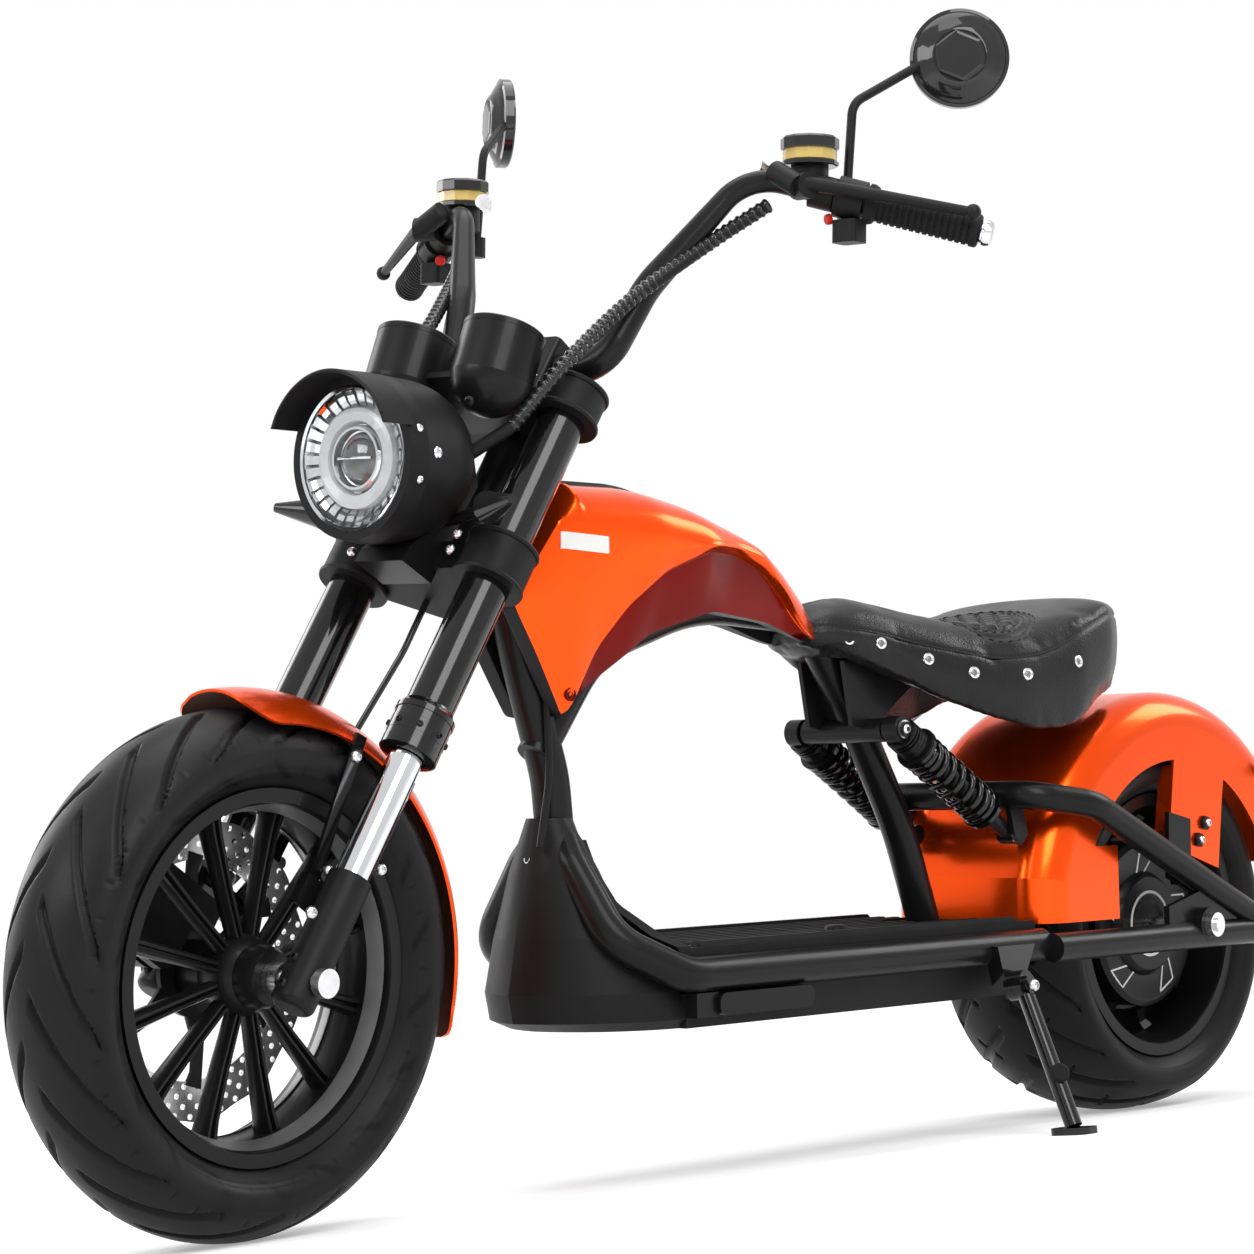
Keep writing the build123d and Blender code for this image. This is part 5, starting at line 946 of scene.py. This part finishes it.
CELL, MOST_SWELL, LAST_FRAME = 0.0046, 0.006, 20
remesh = seat_cover.modifiers.new("even cells", "REMESH")
remesh.mode = "VOXEL"
remesh.voxel_size = CELL
apply_modifiers(seat_cover)
foam = mesh_points(seat_cover.data)
cloth = seat_cover.modifiers.new("leather", "CLOTH")
cloth.settings.use_pressure = True
cloth.settings.uniform_pressure_force = 4
cloth.settings.effector_weights.gravity = 0
cloth.settings.tension_stiffness = cloth.settings.compression_stiffness = 30
cloth.settings.bending_stiffness = 2
cloth.point_cache.frame_start, cloth.point_cache.frame_end = 1, LAST_FRAME
for step in range(1, LAST_FRAME + 1):
    bpy.context.scene.frame_set(step)
apply_modifiers(seat_cover)
moved = mesh_points(seat_cover.data) - foam
far = np.linalg.norm(moved, axis=1, keepdims=True)
print("leather moved up to %.1f mm" % (1000 * far.max()))
moved *= np.minimum(1, MOST_SWELL / np.maximum(far, 1e-9))
seat_cover.data.vertices.foreach_set("co", (foam + moved).ravel())
bpy.context.scene.frame_set(1)
divide = seat_cover.modifiers.new("finer", "SUBSURF")
divide.levels = divide.render_levels = 1
apply_modifiers(seat_cover)


# %% Quilting, creases and the seam, pressed into the leather
leather_points = upright(mesh_points(seat_cover.data))
x, y, z = leather_points.T
QUILT_CENTRE, QUILT_HALF, SEWN = (0, -302), (98, 72), 2.6
oval = np.hypot((x - QUILT_CENTRE[0]) / QUILT_HALF[0], (y - QUILT_CENTRE[1]) / QUILT_HALF[1])
on_top = (z > np.interp(y, seat_y, seam_z) - 2)
weave = 27.0
first = np.abs((x + y * 0.9) / weave % 1 - 0.5) * weave
second = np.abs((x - y * 0.9) / weave % 1 - 0.5) * weave
channel = bell(weave / 2 - first, SEWN) + bell(weave / 2 - second, SEWN)
puff = 1.6 * np.abs(np.sin(np.pi * (x + y * 0.9) / weave) * np.sin(np.pi * (x - y * 0.9) / weave))**0.5
inside_oval = np.clip((1 - oval) / 0.05, 0, 1)
border = bell((oval - 1.0) * 80, 3.4) + 0.8 * bell((oval - 1.16) * 80, 3.0)
press = np.where(on_top, inside_oval * (1.6 * puff - 3.6 * np.minimum(channel, 1)) - 3.0 * border, 0)
seam_off = np.abs(z - np.interp(y, seat_y, seam_z))
near_side = np.abs(x) > 0.8 * np.interp(y, seat_y, seam_x)
groove = np.where(near_side, -1.6 * bell(seam_off, SEWN), 0)
mid_seam = np.where(on_top & (y < -396), -1.8 * bell(x, SEWN), 0)
wrinkles = 0.35 * np.sin(0.11 * y + 0.06 * x + 2 * np.sin(0.035 * y)) * bell(y + 450, 90)
normals = np.empty(len(x) * 3)
seat_cover.data.vertices.foreach_get("normal", normals)
normals = normals.reshape(-1, 3) @ STANCES["root"][1].T
leather_points = leather_points + normals * (press + groove + mid_seam + wrinkles)[:, None]
seat_cover.data.vertices.foreach_set("co", place(leather_points).ravel())
seat_cover.data.shade_smooth()
seat_cover.data.materials.clear()
seat_cover.data.materials.append(leather)
print("seat cover", len(seat_cover.data.polygons), "faces")

# %% Piping, stitches and rivets
outer_points = leather_points[leather_points[:, 2] > 500]


def on_leather(spots):
    """The middle of the leather's vertices nearest to each spot."""
    found = []
    for spot in np.array(spots, float):
        gap = np.linalg.norm(outer_points - spot, axis=1)
        close = gap < np.sort(gap)[4] + 0.1
        found.append(outer_points[close].mean(0))
    return np.array(found)


pipe_y = np.concatenate([np.linspace(-585, -100, 80), np.linspace(-94, -58, 14)])
pipe = np.stack([np.interp(pipe_y, seat_y, seam_x) + 2, pipe_y, np.interp(pipe_y, seat_y, seam_z)], -1)
pipe = on_leather(pipe)
pipe = np.stack([np.convolve(np.pad(line, 4, mode="edge"), np.ones(9) / 9, mode="valid") for line in pipe.T], -1)
whole_pipe = np.concatenate([pipe, (pipe * [-1, 1, 1])[::-1]])
make_piece("seat_piping", "root", [carried(whole_pipe, ring(1.3, 8), UP, closed=True)], leather, "seat_leather")
RIVETS = [(45, -545, 593), (65, -505, 586), (88, -445, 566), (113, -388, 551), (139, -315, 549), (146, -230, 564)]
rivet_spots = on_leather(RIVETS)
EYELET = [(-2, 0), (-2, 7.4), (0.5, 7.4), (1.5, 6.7), (1.8, 5.4), (1.2, 4.2), (0.8, 3.8)]
BUTTON = [(0.8, 3.8), (1.4, 2.6), (1.7, 1.2), (1.8, 0)]
rivet_patches = []
for spot in rivet_spots:
    way = unit(np.array([1, 0, 0]) + np.array([0, -0.45, 0]) * (spot[1] < -280) + np.array([0, 0, 0.12]))
    rivet_patches.append((*turned(EYELET, spot, way, 24), 0))
    rivet_patches.append((*turned(BUTTON, spot, way, 24), 1))
make_pair("seat_rivets", "root", rivet_patches, [chrome, satin_grey], "chrome")
stitch_angle = np.linspace(0, 2 * np.pi, 92, endpoint=False)
stitches = []
for ratio in (1.07, 1.22):
    line = np.stack([QUILT_HALF[0] * ratio * np.cos(stitch_angle),
                     QUILT_CENTRE[1] + QUILT_HALF[1] * ratio * np.sin(stitch_angle),
                     np.full(92, 640.0)], -1)
    line[:, 2] = [outer_points[np.argmin(np.hypot(*(outer_points[:, :2] - spot[:2]).T)
                                         - 0.02 * outer_points[:, 2])][2] for spot in line]
    for start, end in zip(line[::2], line[1::2]):
        stitches.append(carried(np.stack([start, (start + end) / 2 + [0, 0, 0.7], end]), ring(0.55, 5), UP))
make_piece("seat_stitches", "root", stitches, black_plastic, "seat_leather")
print("seat", pieces_made[-4:])

# %% [markdown]
# ## Front fender
# The front fender is a thin curved strip over the rear quarter of the tyre, painted orange outside
# and dull brown inside, where the brown is painted shade under the sheet. Its section is a flat
# arc; near both ends the arc gets shorter, which rounds the corners. Two such surfaces a few
# millimetres apart, joined at the edge, make the sheet.

# %% A strip of sheet round the front axle
ARC_R, ARC_DROP = 81.06, 277 - 81.06
fender_turn = np.radians(np.concatenate([np.linspace(-17, -11, 14), np.linspace(-10, 88, 80), np.linspace(89, 97, 14)]))
end_gap = np.minimum(fender_turn - fender_turn[0], fender_turn[-1] - fender_turn)
narrow = np.sqrt(np.clip(1 - (1 - np.clip(end_gap / np.radians(7), 0, 1))**2, 0.0, 1))
narrow = 0.45 + 0.55 * narrow
swing = np.radians(54.5) * np.linspace(-1, 1, 31)[None, :] * narrow[:, None]


def fender_sheet(inset, swing):
    """The fender's surface at a depth: its arc's angle gives x and the radius, its turn gives y and z."""
    x = (ARC_R - inset) * np.sin(swing)
    radius = ARC_DROP + (ARC_R - inset) * np.cos(swing)
    turn = fender_turn[:, None]
    return np.stack([x, FRONT_AXLE[1] + radius * np.cos(turn), FRONT_AXLE[2] + radius * np.sin(turn)], -1)


outside, inside = fender_sheet(0, swing), fender_sheet(2.8, swing)
lip = patch(np.stack([edge_of(sheet) for sheet in (outside, (outside + inside) / 2, inside)]), wrap_columns=True)
# The inside surface, zone 1, takes the dull brown as painted shade.
make_piece("front_fender_sheet", "steering", [(*patch(outside), 0), (*patch(inside), 1), (*lip, 0)],
           [candy, fender_painted_shade], "orange_paint", ["front_fender"], sharp=50)

# %% [markdown]
# ## Folded tab and bolts of the rear fender
# The rear fender is bolted to the frame through a flat tab on each side. The tab's front edge is
# folded inwards to stiffen it, which catches the light, and two bolts hold it.

# %% Fold and bolts
def slab(corners, x_low, x_high):
    """A flat plate from its side outline (rearward, upward), between two distances across."""
    loop = np.array(corners, float)
    low, high = (np.column_stack([np.full(len(loop), x), loop]) for x in (x_low, x_high))
    middle = loop.mean(0)
    centre_low, centre_high = (np.repeat([[x, *middle]], len(loop), 0) for x in (x_low, x_high))
    return patch(np.stack([centre_low, low, high, centre_high]), wrap_columns=True)


fold = slab([(-6, 436), (-3, 436), (-16.6, 355.5), (1.5, 331), (-1, 329), (-20, 355)], 101, 120.2)
make_pair("rear_fender_folds", "root", [fold], candy, "orange_paint", flat=True)
tab_bolts = [(124, 55, 362), (124, 40, 341)]
nuts = [turned([(0, 9.5), (4, 9.5), (5.5, 8), (5.5, 0)], spot, ACROSS, 6) for spot in tab_bolts]
make_pair("rear_fender_nuts", "root", nuts, satin_black, "black_paint", flat=True)
make_pair("rear_fender_bolts", "root", screws(np.array(tab_bolts) + [5.5, 0, 0], ACROSS, 5, 4), bright_steel,
          "bright_steel")

# %% [markdown]
# ## Coil springs
# Two springs stand under the seat. A spring is a round wire carried along a helix whose turns
# close up at both ends, where it rests on its seats.

# %% Springs, eyes and adjuster rings
SHOCK_TOP, SHOCK_FOOT = np.array([75, -490, 485.0]), np.array([75, -284, 358.0])
shock_way = unit(SHOCK_FOOT - SHOCK_TOP)
shock_side = np.array([1.0, 0, 0])
shock_up = np.cross(shock_way, shock_side)


def helix(start, end, radius, turns, count):
    """A coil: the angle grows evenly, the way along grows slower at both ends so the turns close up."""
    share = np.linspace(0, 1, count)
    angle = 2 * np.pi * turns * share
    along = start + (end - start) * (share - 0.09 * np.sin(2 * np.pi * share) / (2 * np.pi) * 4)
    return (SHOCK_TOP + along[:, None] * shock_way
            + radius * (np.cos(angle)[:, None] * shock_side + np.sin(angle)[:, None] * shock_up))


wire = carried(helix(52, 178, 20.6, 8.5, 260), ring(4.2, 9), shock_way)
seats = [turned([(a, 12.5), (a, 26), (a + 5, 26), (a + 6, 22), (a + 6, 12.5)], SHOCK_TOP, shock_way, 36, closed=True)
         for a in (40, 180)]
make_pair("shock_coils", "root", [wire, *seats], gloss_black, "gloss_black", ["shock_springs"], sharp=50)
adjuster = [(8 + a, r) for k in range(5) for a, r in ((5 * k, 15.5), (5 * k + 1.2, 20.5), (5 * k + 3.2, 20.5),
                                                      (5 * k + 4.4, 15.5))]
ribs = turned([(10, 12)] + adjuster + [(33, 12)], SHOCK_TOP, shock_way, 40)
make_pair("shock_adjusters", "root", [ribs], satin_black, "black_paint")
EYE_OUT, WASHER = 11, 2
eyes = []
for centre in (SHOCK_TOP, SHOCK_FOOT):
    spot = centre + [EYE_OUT, 0, 0]
    eyes += [turned(collar(0, WASHER, 0, 11), spot, ACROSS, 28),
             *screw(spot + [WASHER, 0, 0], ACROSS, 6.5, 5)]
make_pair("shock_bolts", "root", eyes, bright_steel, "bright_steel")
print("fenders and shocks", pieces_made[-7:])

# %% [markdown]
# ## Headlamp
# The lamp is a matt black bowl with a small visor. Behind the glass sits a bright reflector with a
# ring of chips round a light ring, and a projector ball in the middle with a dark shade across it.
# Most of it is turned about the lamp's axis; the chips are small blocks repeated round it.

# %% Inside the lamp
LAMP = np.array([0, -1262, 764.0])


def lamp_ring(profile):
    """A ring of the lamp from (behind the glass, radius)."""
    return turned(profile, LAMP, BACK, closed=True)


glow = make_finish("light ring", (0.50, 0.51, 0.53), 0.2, coat=0.6, mottled=(60, 0.08))
make_piece("lamp_light_ring", "steering", [lamp_ring([(9, 50), (7, 46), (9, 37), (14, 34), (18, 34), (18, 51)])],
           glow, "reflector")
chips = []
for number in range(30):
    angle = 2 * np.pi * number / 30
    out_way = np.array([np.cos(angle), 0, np.sin(angle)])
    reach = np.array([52, 58, 64, 69]) + (number % 2)
    path = LAMP + np.array([0, 1, 0]) * np.array([15, 11, 9, 5])[:, None] + reach[:, None] * out_way
    chips.append(carried(path, [(4.6, -2), (4.6, 1), (0, 4), (-4.6, 1), (-4.6, -2)], BACK, [0.85, 0.95, 1.05, 1.1]))
make_piece("lamp_chips", "steering", chips, chrome, "chrome", flat=True)
make_piece("lamp_rim", "steering", [lamp_ring([(1.0, 73.8), (4.5, 73.8), (4.5, 70), (2.5, 70)])], chrome, "chrome")
projector = [(22, 33), (12, 33), (9, 31), (9, 28.5), (13, 27), (22, 27)]
make_piece("lamp_projector_ring", "steering", [lamp_ring(projector)], chrome, "chrome")
ball = [(30, 26.5), (18, 25.5), (12, 21), (8, 14), (6.4, 7), (6, 0)]
make_piece("lamp_ball", "steering", [turned(ball, LAMP, BACK, 64)], smoked_lens, "mirror")
make_piece("lamp_shade", "steering",
           [carried(LAMP + np.array([[-22, 9, 0], [-8, 5.2, 0], [8, 5.2, 0], [22, 9, 0]]), ring(1.6, 8), BACK)],
           chrome, "chrome")

# %% Screws of the lamp bowl and the visor's bead
BOWL_R, BOWL_FLARE = 84.5, 8
bowl_screws = [((76, -1247, 26), 4.4), ((81, -1225, 4), 6.5), ((76, -1247, -22), 4.4)]
bowl = []
for (x, y, above), size in bowl_screws:
    spot = LAMP * [0, 0, 1] + [0, y, 0] + BOWL_R * unit(np.array([x, 0, above], float))
    bowl += screw(spot, unit(np.array([x, BOWL_FLARE, above], float)), size, 3)
make_pair("lamp_bowl_screws", "steering", bowl, chrome, "chrome")
visor_edge = np.radians(np.linspace(28, 152, 60))
bead = LAMP + np.stack([85 * np.cos(visor_edge), np.full(60, -33.5), 85 * np.sin(visor_edge)], -1)
make_piece("lamp_visor_bead", "steering", [carried(bead, ring(2.0, 8), BACK)], matt_black, "black_plastic")

# %% [markdown]
# ## Instrument pods
# Two round-bottomed cups stand on the upper clamp, one on each side, with a dial on top. The dial
# is a dark face with plain ticks under a slightly crowned glass, inside a raised rim.

# %% Dials
POD_WAY = unit(np.array([0, np.sin(np.radians(21)), np.cos(np.radians(21))]))
POD_BASE, POD_HEIGHT = np.array([62, -1138, 812.0]), 92
dial_centre = POD_BASE + POD_WAY * POD_HEIGHT
across, up_dial = np.array([1.0, 0, 0]), np.cross(POD_WAY, [1.0, 0, 0])
dial = turned([(-3, 0), (-3, 37.5), (0.6, 37.5), (1.2, 34), (1.8, 0)], dial_centre, POD_WAY, 64)
dial_face = dial_centre + POD_WAY * 1.2
tick_parts = []
for number in range(25):
    angle = np.radians(-210 + 240 * number / 24)
    out_way = np.cos(angle) * across + np.sin(angle) * up_dial
    size = 1.0 if number % 4 else 1.7
    tick = np.stack([dial_face + out_way * (31 - 3 * size), dial_face + out_way * 32])
    tick_parts.append(carried(tick, ring(0.5 * size, 6), POD_WAY))
needle = np.stack([dial_centre + POD_WAY * 2.4, dial_centre + POD_WAY * 2.4 + 24 * unit(-across - 0.6 * up_dial)])
tick_parts.append(carried(needle, ring(0.8, 6), POD_WAY))
make_pair("pod_dials", "steering", [dial], smoked_lens, "mirror")
make_pair("pod_ticks", "steering", tick_parts, white_label, "gloss_plastic")
rim_section = [(-2, 38), (-2, 43.4), (3, 43.4), (4.5, 42), (4.5, 39), (3, 38)]
make_pair("pod_rims", "steering", [turned(rim_section, dial_centre, POD_WAY, 64, closed=True)], satin_black,
          "black_plastic")
pod_screw_spot = np.array([76, -1171, 824.0])
make_pair("pod_screws", "steering", screw(pod_screw_spot, (0.25, -0.9, -0.1), 5.2, 3), satin_black, "black_paint")
print("lamp and dials", pieces_made[-10:])

# %% [markdown]
# ## Grips, reservoirs and mirrors
# The grips are ribbed rubber with a flange, the two brake reservoirs have a black lid and foot with
# a see-through amber ring between them, and the mirrors have a faceted black back.

# %% Ribbed grips
GRIP_END, BAR_KNEE = np.array([415, -758, 1014.0]), np.array([205, -884, 1078.0])
inboard = unit(BAR_KNEE - GRIP_END)
ribs = [(2, 12.2), (2, 16), (4, 17.6), (10, 17.6), (11, 16)]
for number in range(14):
    a = 13 + 7 * number
    ribs += [(a, 15.6), (a + 0.8, 17.2), (a + 4.6, 17.2), (a + 5.4, 15.6)]
ribs += [(112, 16.5), (114, 19.5), (119, 21.5), (123, 21.5), (124, 19), (124, 12.2)]
make_pair("grip_sleeves", "steering", [turned(ribs, GRIP_END, inboard, 48, closed=True)], grip_rubber,
          "grip_rubber", ["grips"])
caps = [(-12, 0), (-12, 9), (-10.5, 12.5), (-6, 14), (-2.6, 14), (-2.0, 12.6), (-0.4, 12.6), (-0.4, 0)]
make_pair("bar_end_caps", "steering", [turned(caps, GRIP_END, inboard, 48)], chrome, "chrome", ["bar_ends"])

# %% Brake reservoirs
RESERVOIR_FOOT = np.array([251, -838, 1087.0])
foot = [(0, 0), (0, 29), (1, 30.5), (5, 30.5), (6, 28)]
fluid = [(6, 28), (6.5, 28.6), (17, 28.6), (18, 28)]
lid = [(18, 28), (18, 30.6), (19, 31), (29, 31), (31.4, 28.5), (31.9, 25), (30.8, 24), (30.8, 0)]
cups = [(*turned(part, RESERVOIR_FOOT, UP, 12), zone) for part, zone in ((foot, 0), (fluid, 1), (lid, 0))]
make_pair("reservoir_cups", "steering", cups, [gloss_plastic, amber_fluid], "reservoir_clear", ["reservoirs"],
          sharp=20)
lid_screws = [RESERVOIR_FOOT + [20 * np.cos(a), 20 * np.sin(a), 30.6] for a in np.radians([45, 135, 225, 315])]
make_pair("reservoir_screws", "steering", screws(lid_screws, UP, 3, 1.2), bright_steel, "bright_steel")
banjo = [turned(collar(low, high, 0, radius), (206, -846, 1083), (-0.4, -0.8, 0.3), steps)
         for low, high, radius, steps in ((0, 12, 7.5, 6), (12, 17, 9, 24))]
make_pair("banjo_fittings", "steering", banjo, bright_steel, "bright_steel", flat=True)
buttons = [turned([(0, 0), (0, 6), (4, 5.6), (5, 4), (5, 0)], (281, -842, 1029), (-0.3, -0.8, -0.2), 20)]
make_pair("switch_buttons", "steering", buttons, red_button, "red_lens")

# %% Mirror backs
MIRROR = np.array([330, -678, 1216.0])
MIRROR_WAY = np.array([0.6, -0.8, 0])
bowl_back = [(11.9, 49.3), (13.5, 48), (17, 42), (21, 35), (24.4, 30.5), (24.9, 28)]
plate_back = [(24.2, 29.5), (25.6, 27), (26.4, 24), (26.6, 0)]
make_pair("mirror_backs", "steering", [turned(bowl_back, MIRROR, MIRROR_WAY, 72)], gloss_plastic, "gloss_plastic")
make_pair("mirror_plates", "steering", [turned(plate_back, MIRROR, MIRROR_WAY, 6)], gloss_plastic, "gloss_plastic",
          flat=True)
edge_ring = [(-0.5, 49.6), (-1.2, 52), (0.8, 53.4), (11, 53.4), (12.4, 50), (11.5, 48.5)]
make_pair("mirror_rims", "steering", [turned(edge_ring, MIRROR, MIRROR_WAY, 72)], gloss_plastic, "gloss_plastic")

# %% [markdown]
# ## Wrapped harness
# Cables and hoses run from the controls to the head inside a wrap of black spiral tube. The wrap
# is a tube whose radius swells and shrinks along its length, so its turns stand out and glint.

# %% Spiral wrap over the harness
HARNESS = [(220, -868, 1046), (184, -912, 1008), (144, -990, 945), (118, -1068, 872), (84, -1118, 800)]
wrap_path = flowing(HARNESS, 300)
run = np.concatenate([[0], np.cumsum(np.linalg.norm(np.diff(wrap_path, axis=0), axis=1))])
wrap_size = 1 + 0.13 * np.sin(2 * np.pi * run / 8.5)
make_pair("harness_wrap", "steering", [carried(wrap_path, ring(7.6, 16), (1, 0, 0.2), wrap_size)], gloss_plastic,
          "gloss_plastic", sharp=80)
print("bars", pieces_made[-10:])

# %% [markdown]
# ## Fork
# The black outer tubes slide over silver ones. Each tube ends in a seal housing with a stack of
# turned rings and a row of small screws; pinch bolts hold the tubes in the clamps.

# %% Seal housings and pinch bolts
LEG_X = 95


def leg_ring(profile):
    """A ring round a fork leg from (station along the leg, radius)."""
    return turned(profile, fork_point(LEG_X, 0), ALONG, 56, closed=True)


seal = [(250, 20), (250, 27), (252, 30.3), (262, 30.3), (263, 27.5), (268, 27.5), (269, 30.3), (284, 30.3),
        (286, 28), (292, 28), (293, 31), (299, 31), (302, 28), (306, 26), (306, 25.3)]
make_pair("seal_housings", "steering", [leg_ring(seal)], gloss_black, "gloss_black")
seal_screws = []
for number in range(8):
    angle = FULL * number / 8
    outward = np.cos(angle) * np.array(ACROSS) + np.sin(angle) * AHEAD
    seal_screws += screw(fork_point(LEG_X, 276) + outward * 30, outward, 3.4, 2.6)
make_pair("seal_screws", "steering", seal_screws, satin_black, "black_paint")
rings = []
for station, radius in ((456, 38.2), (500, 38.2), (662, 38.2), (698, 36.5)):
    rings.append(leg_ring([(station - 2, radius - 6), (station - 2, radius), (station + 1, radius + 0.8),
                                 (station + 3, radius), (station + 3, radius - 6)]))
make_pair("clamp_rims", "steering", rings, matt_black, "black_paint")
pinch = [fork_point(70, 470, 41), fork_point(70, 489, 41), fork_point(70, 672, 40), fork_point(70, 689, 40)]
make_pair("clamp_bolts", "steering", screws(pinch, AHEAD, 5.4, 4), bright_steel, "bright_steel")
strap_spots = [(70.5, -1355, 357), (70.5, -1284, 356), (70.5, -1320, 467), (70.5, -1255, 426)]
strap_bolts = screws(strap_spots, ACROSS, 6.2, 4.5) + screw((105.5, -1412, 322), (1, 0, 0.1), 6.5, 5)
make_pair("strap_bolts", "steering", strap_bolts, bright_steel, "bright_steel")
foot_bolts = screws([fork_point(LEG_X, -14, 21.5), fork_point(LEG_X, 14, 21.5)], AHEAD, 5, 4)
make_pair("axle_pinch_bolts", "steering", foot_bolts, satin_black, "black_paint")

# %% [markdown]
# ## Nose, deck and floor
# The black nose has two raised ribs and a screw at its top, and a screw low on each side where it
# meets the deck. The deck's rubber mat has long raised treads that stop short of its edges.

# %% Ribs, treads and screws
RIB_LINE = [(-1003, 338), (-1016, 305), (-1026, 268), (-1034, 232)]
nose_ribs = [carried([(x, y, z) for y, z in RIB_LINE], ring(4.2, 10), ACROSS, [0.4, 1, 1, 0.4]) for x in (15, -15)]
make_piece("nose_ribs", "root", nose_ribs, black_plastic, "black_plastic")
make_piece("nose_screws", "root",
           screw((0, -1010, 352), (0, -0.95, 0.3), 7, 5) + both_sides(screw((112, -897, 201), (1, -0.3, 0), 5.5, 4)),
           bright_steel, "bright_steel")


def tread(x, start, end, half=5.2, top=258.9, base=255.6):
    """A long low bar of rubber with sloping sides, along the deck."""
    section = np.array([(-half, base), (-half + 1.6, top), (half - 1.6, top), (half, base)])
    rows = np.array([start, start + 4, end - 4, end])
    sink = np.array([1, 0, 0, 1])[:, None]
    z = section[None, :, 1] * (1 - sink) + base * sink
    grid = np.stack([np.broadcast_to(x + section[:, 0], (4, 4)), np.repeat(rows[:, None], 4, 1), z], -1)
    floor_rows = np.stack([grid[:, 0], grid[:, -1]], 1)
    return [patch(grid), patch(floor_rows)]


treads = []
for lane in range(9):
    x = -96 + 24 * lane
    stop = -404 if abs(x) < 40 else -318
    treads += tread(x, -872 + 0.25 * abs(x), stop)
make_piece("mat_treads", "root", treads, grip_rubber, "grip_rubber", flat=True)
make_pair("mat_borders", "root", tread(112, -880, -330, half=6.0, top=262.0), grip_rubber, "grip_rubber", flat=True)
make_piece("deck_cap", "root", [turned([(0, 0), (0, 13), (4, 12), (6, 8), (6, 0)], (60, -590, 258.6), UP, 32)],
           black_plastic, "black_plastic")

# %% [markdown]
# ## The stand's bumper
# A round rubber bumper near the foot keeps the folded stand from rattling against the frame.

# %% Bumper and pivot bolt
stand_top, stand_low = np.array([181, -391, 172.0]), np.array([231, -400, 66.0])
stand_way = unit(stand_low - stand_top)
bumper = turned([(-6, 0), (-6, 9), (-4, 11), (4, 11), (6, 9), (6, 0)], stand_top + 92 * stand_way + [9, -6, 0],
                (1, -0.5, 0.35), 32)
make_piece("stand_bumper", "side_stand", [bumper], grip_rubber, "grip_rubber")
make_piece("stand_pivot_bolt", "side_stand", screw(stand_top + [6, 0, 15], (1, 0, 0.1), 7, 5), bright_steel,
           "bright_steel")
print("fork, deck and stand", pieces_made[-12:])

# %% [markdown]
# ## Measure the dressed scooter
# ## Count the dressed scooter
# The pieces made and their faces are counted and printed.

# %% Count the pieces and their faces
print(len(pieces_made), "pieces,", sum(count for _, count in pieces_made), "faces")
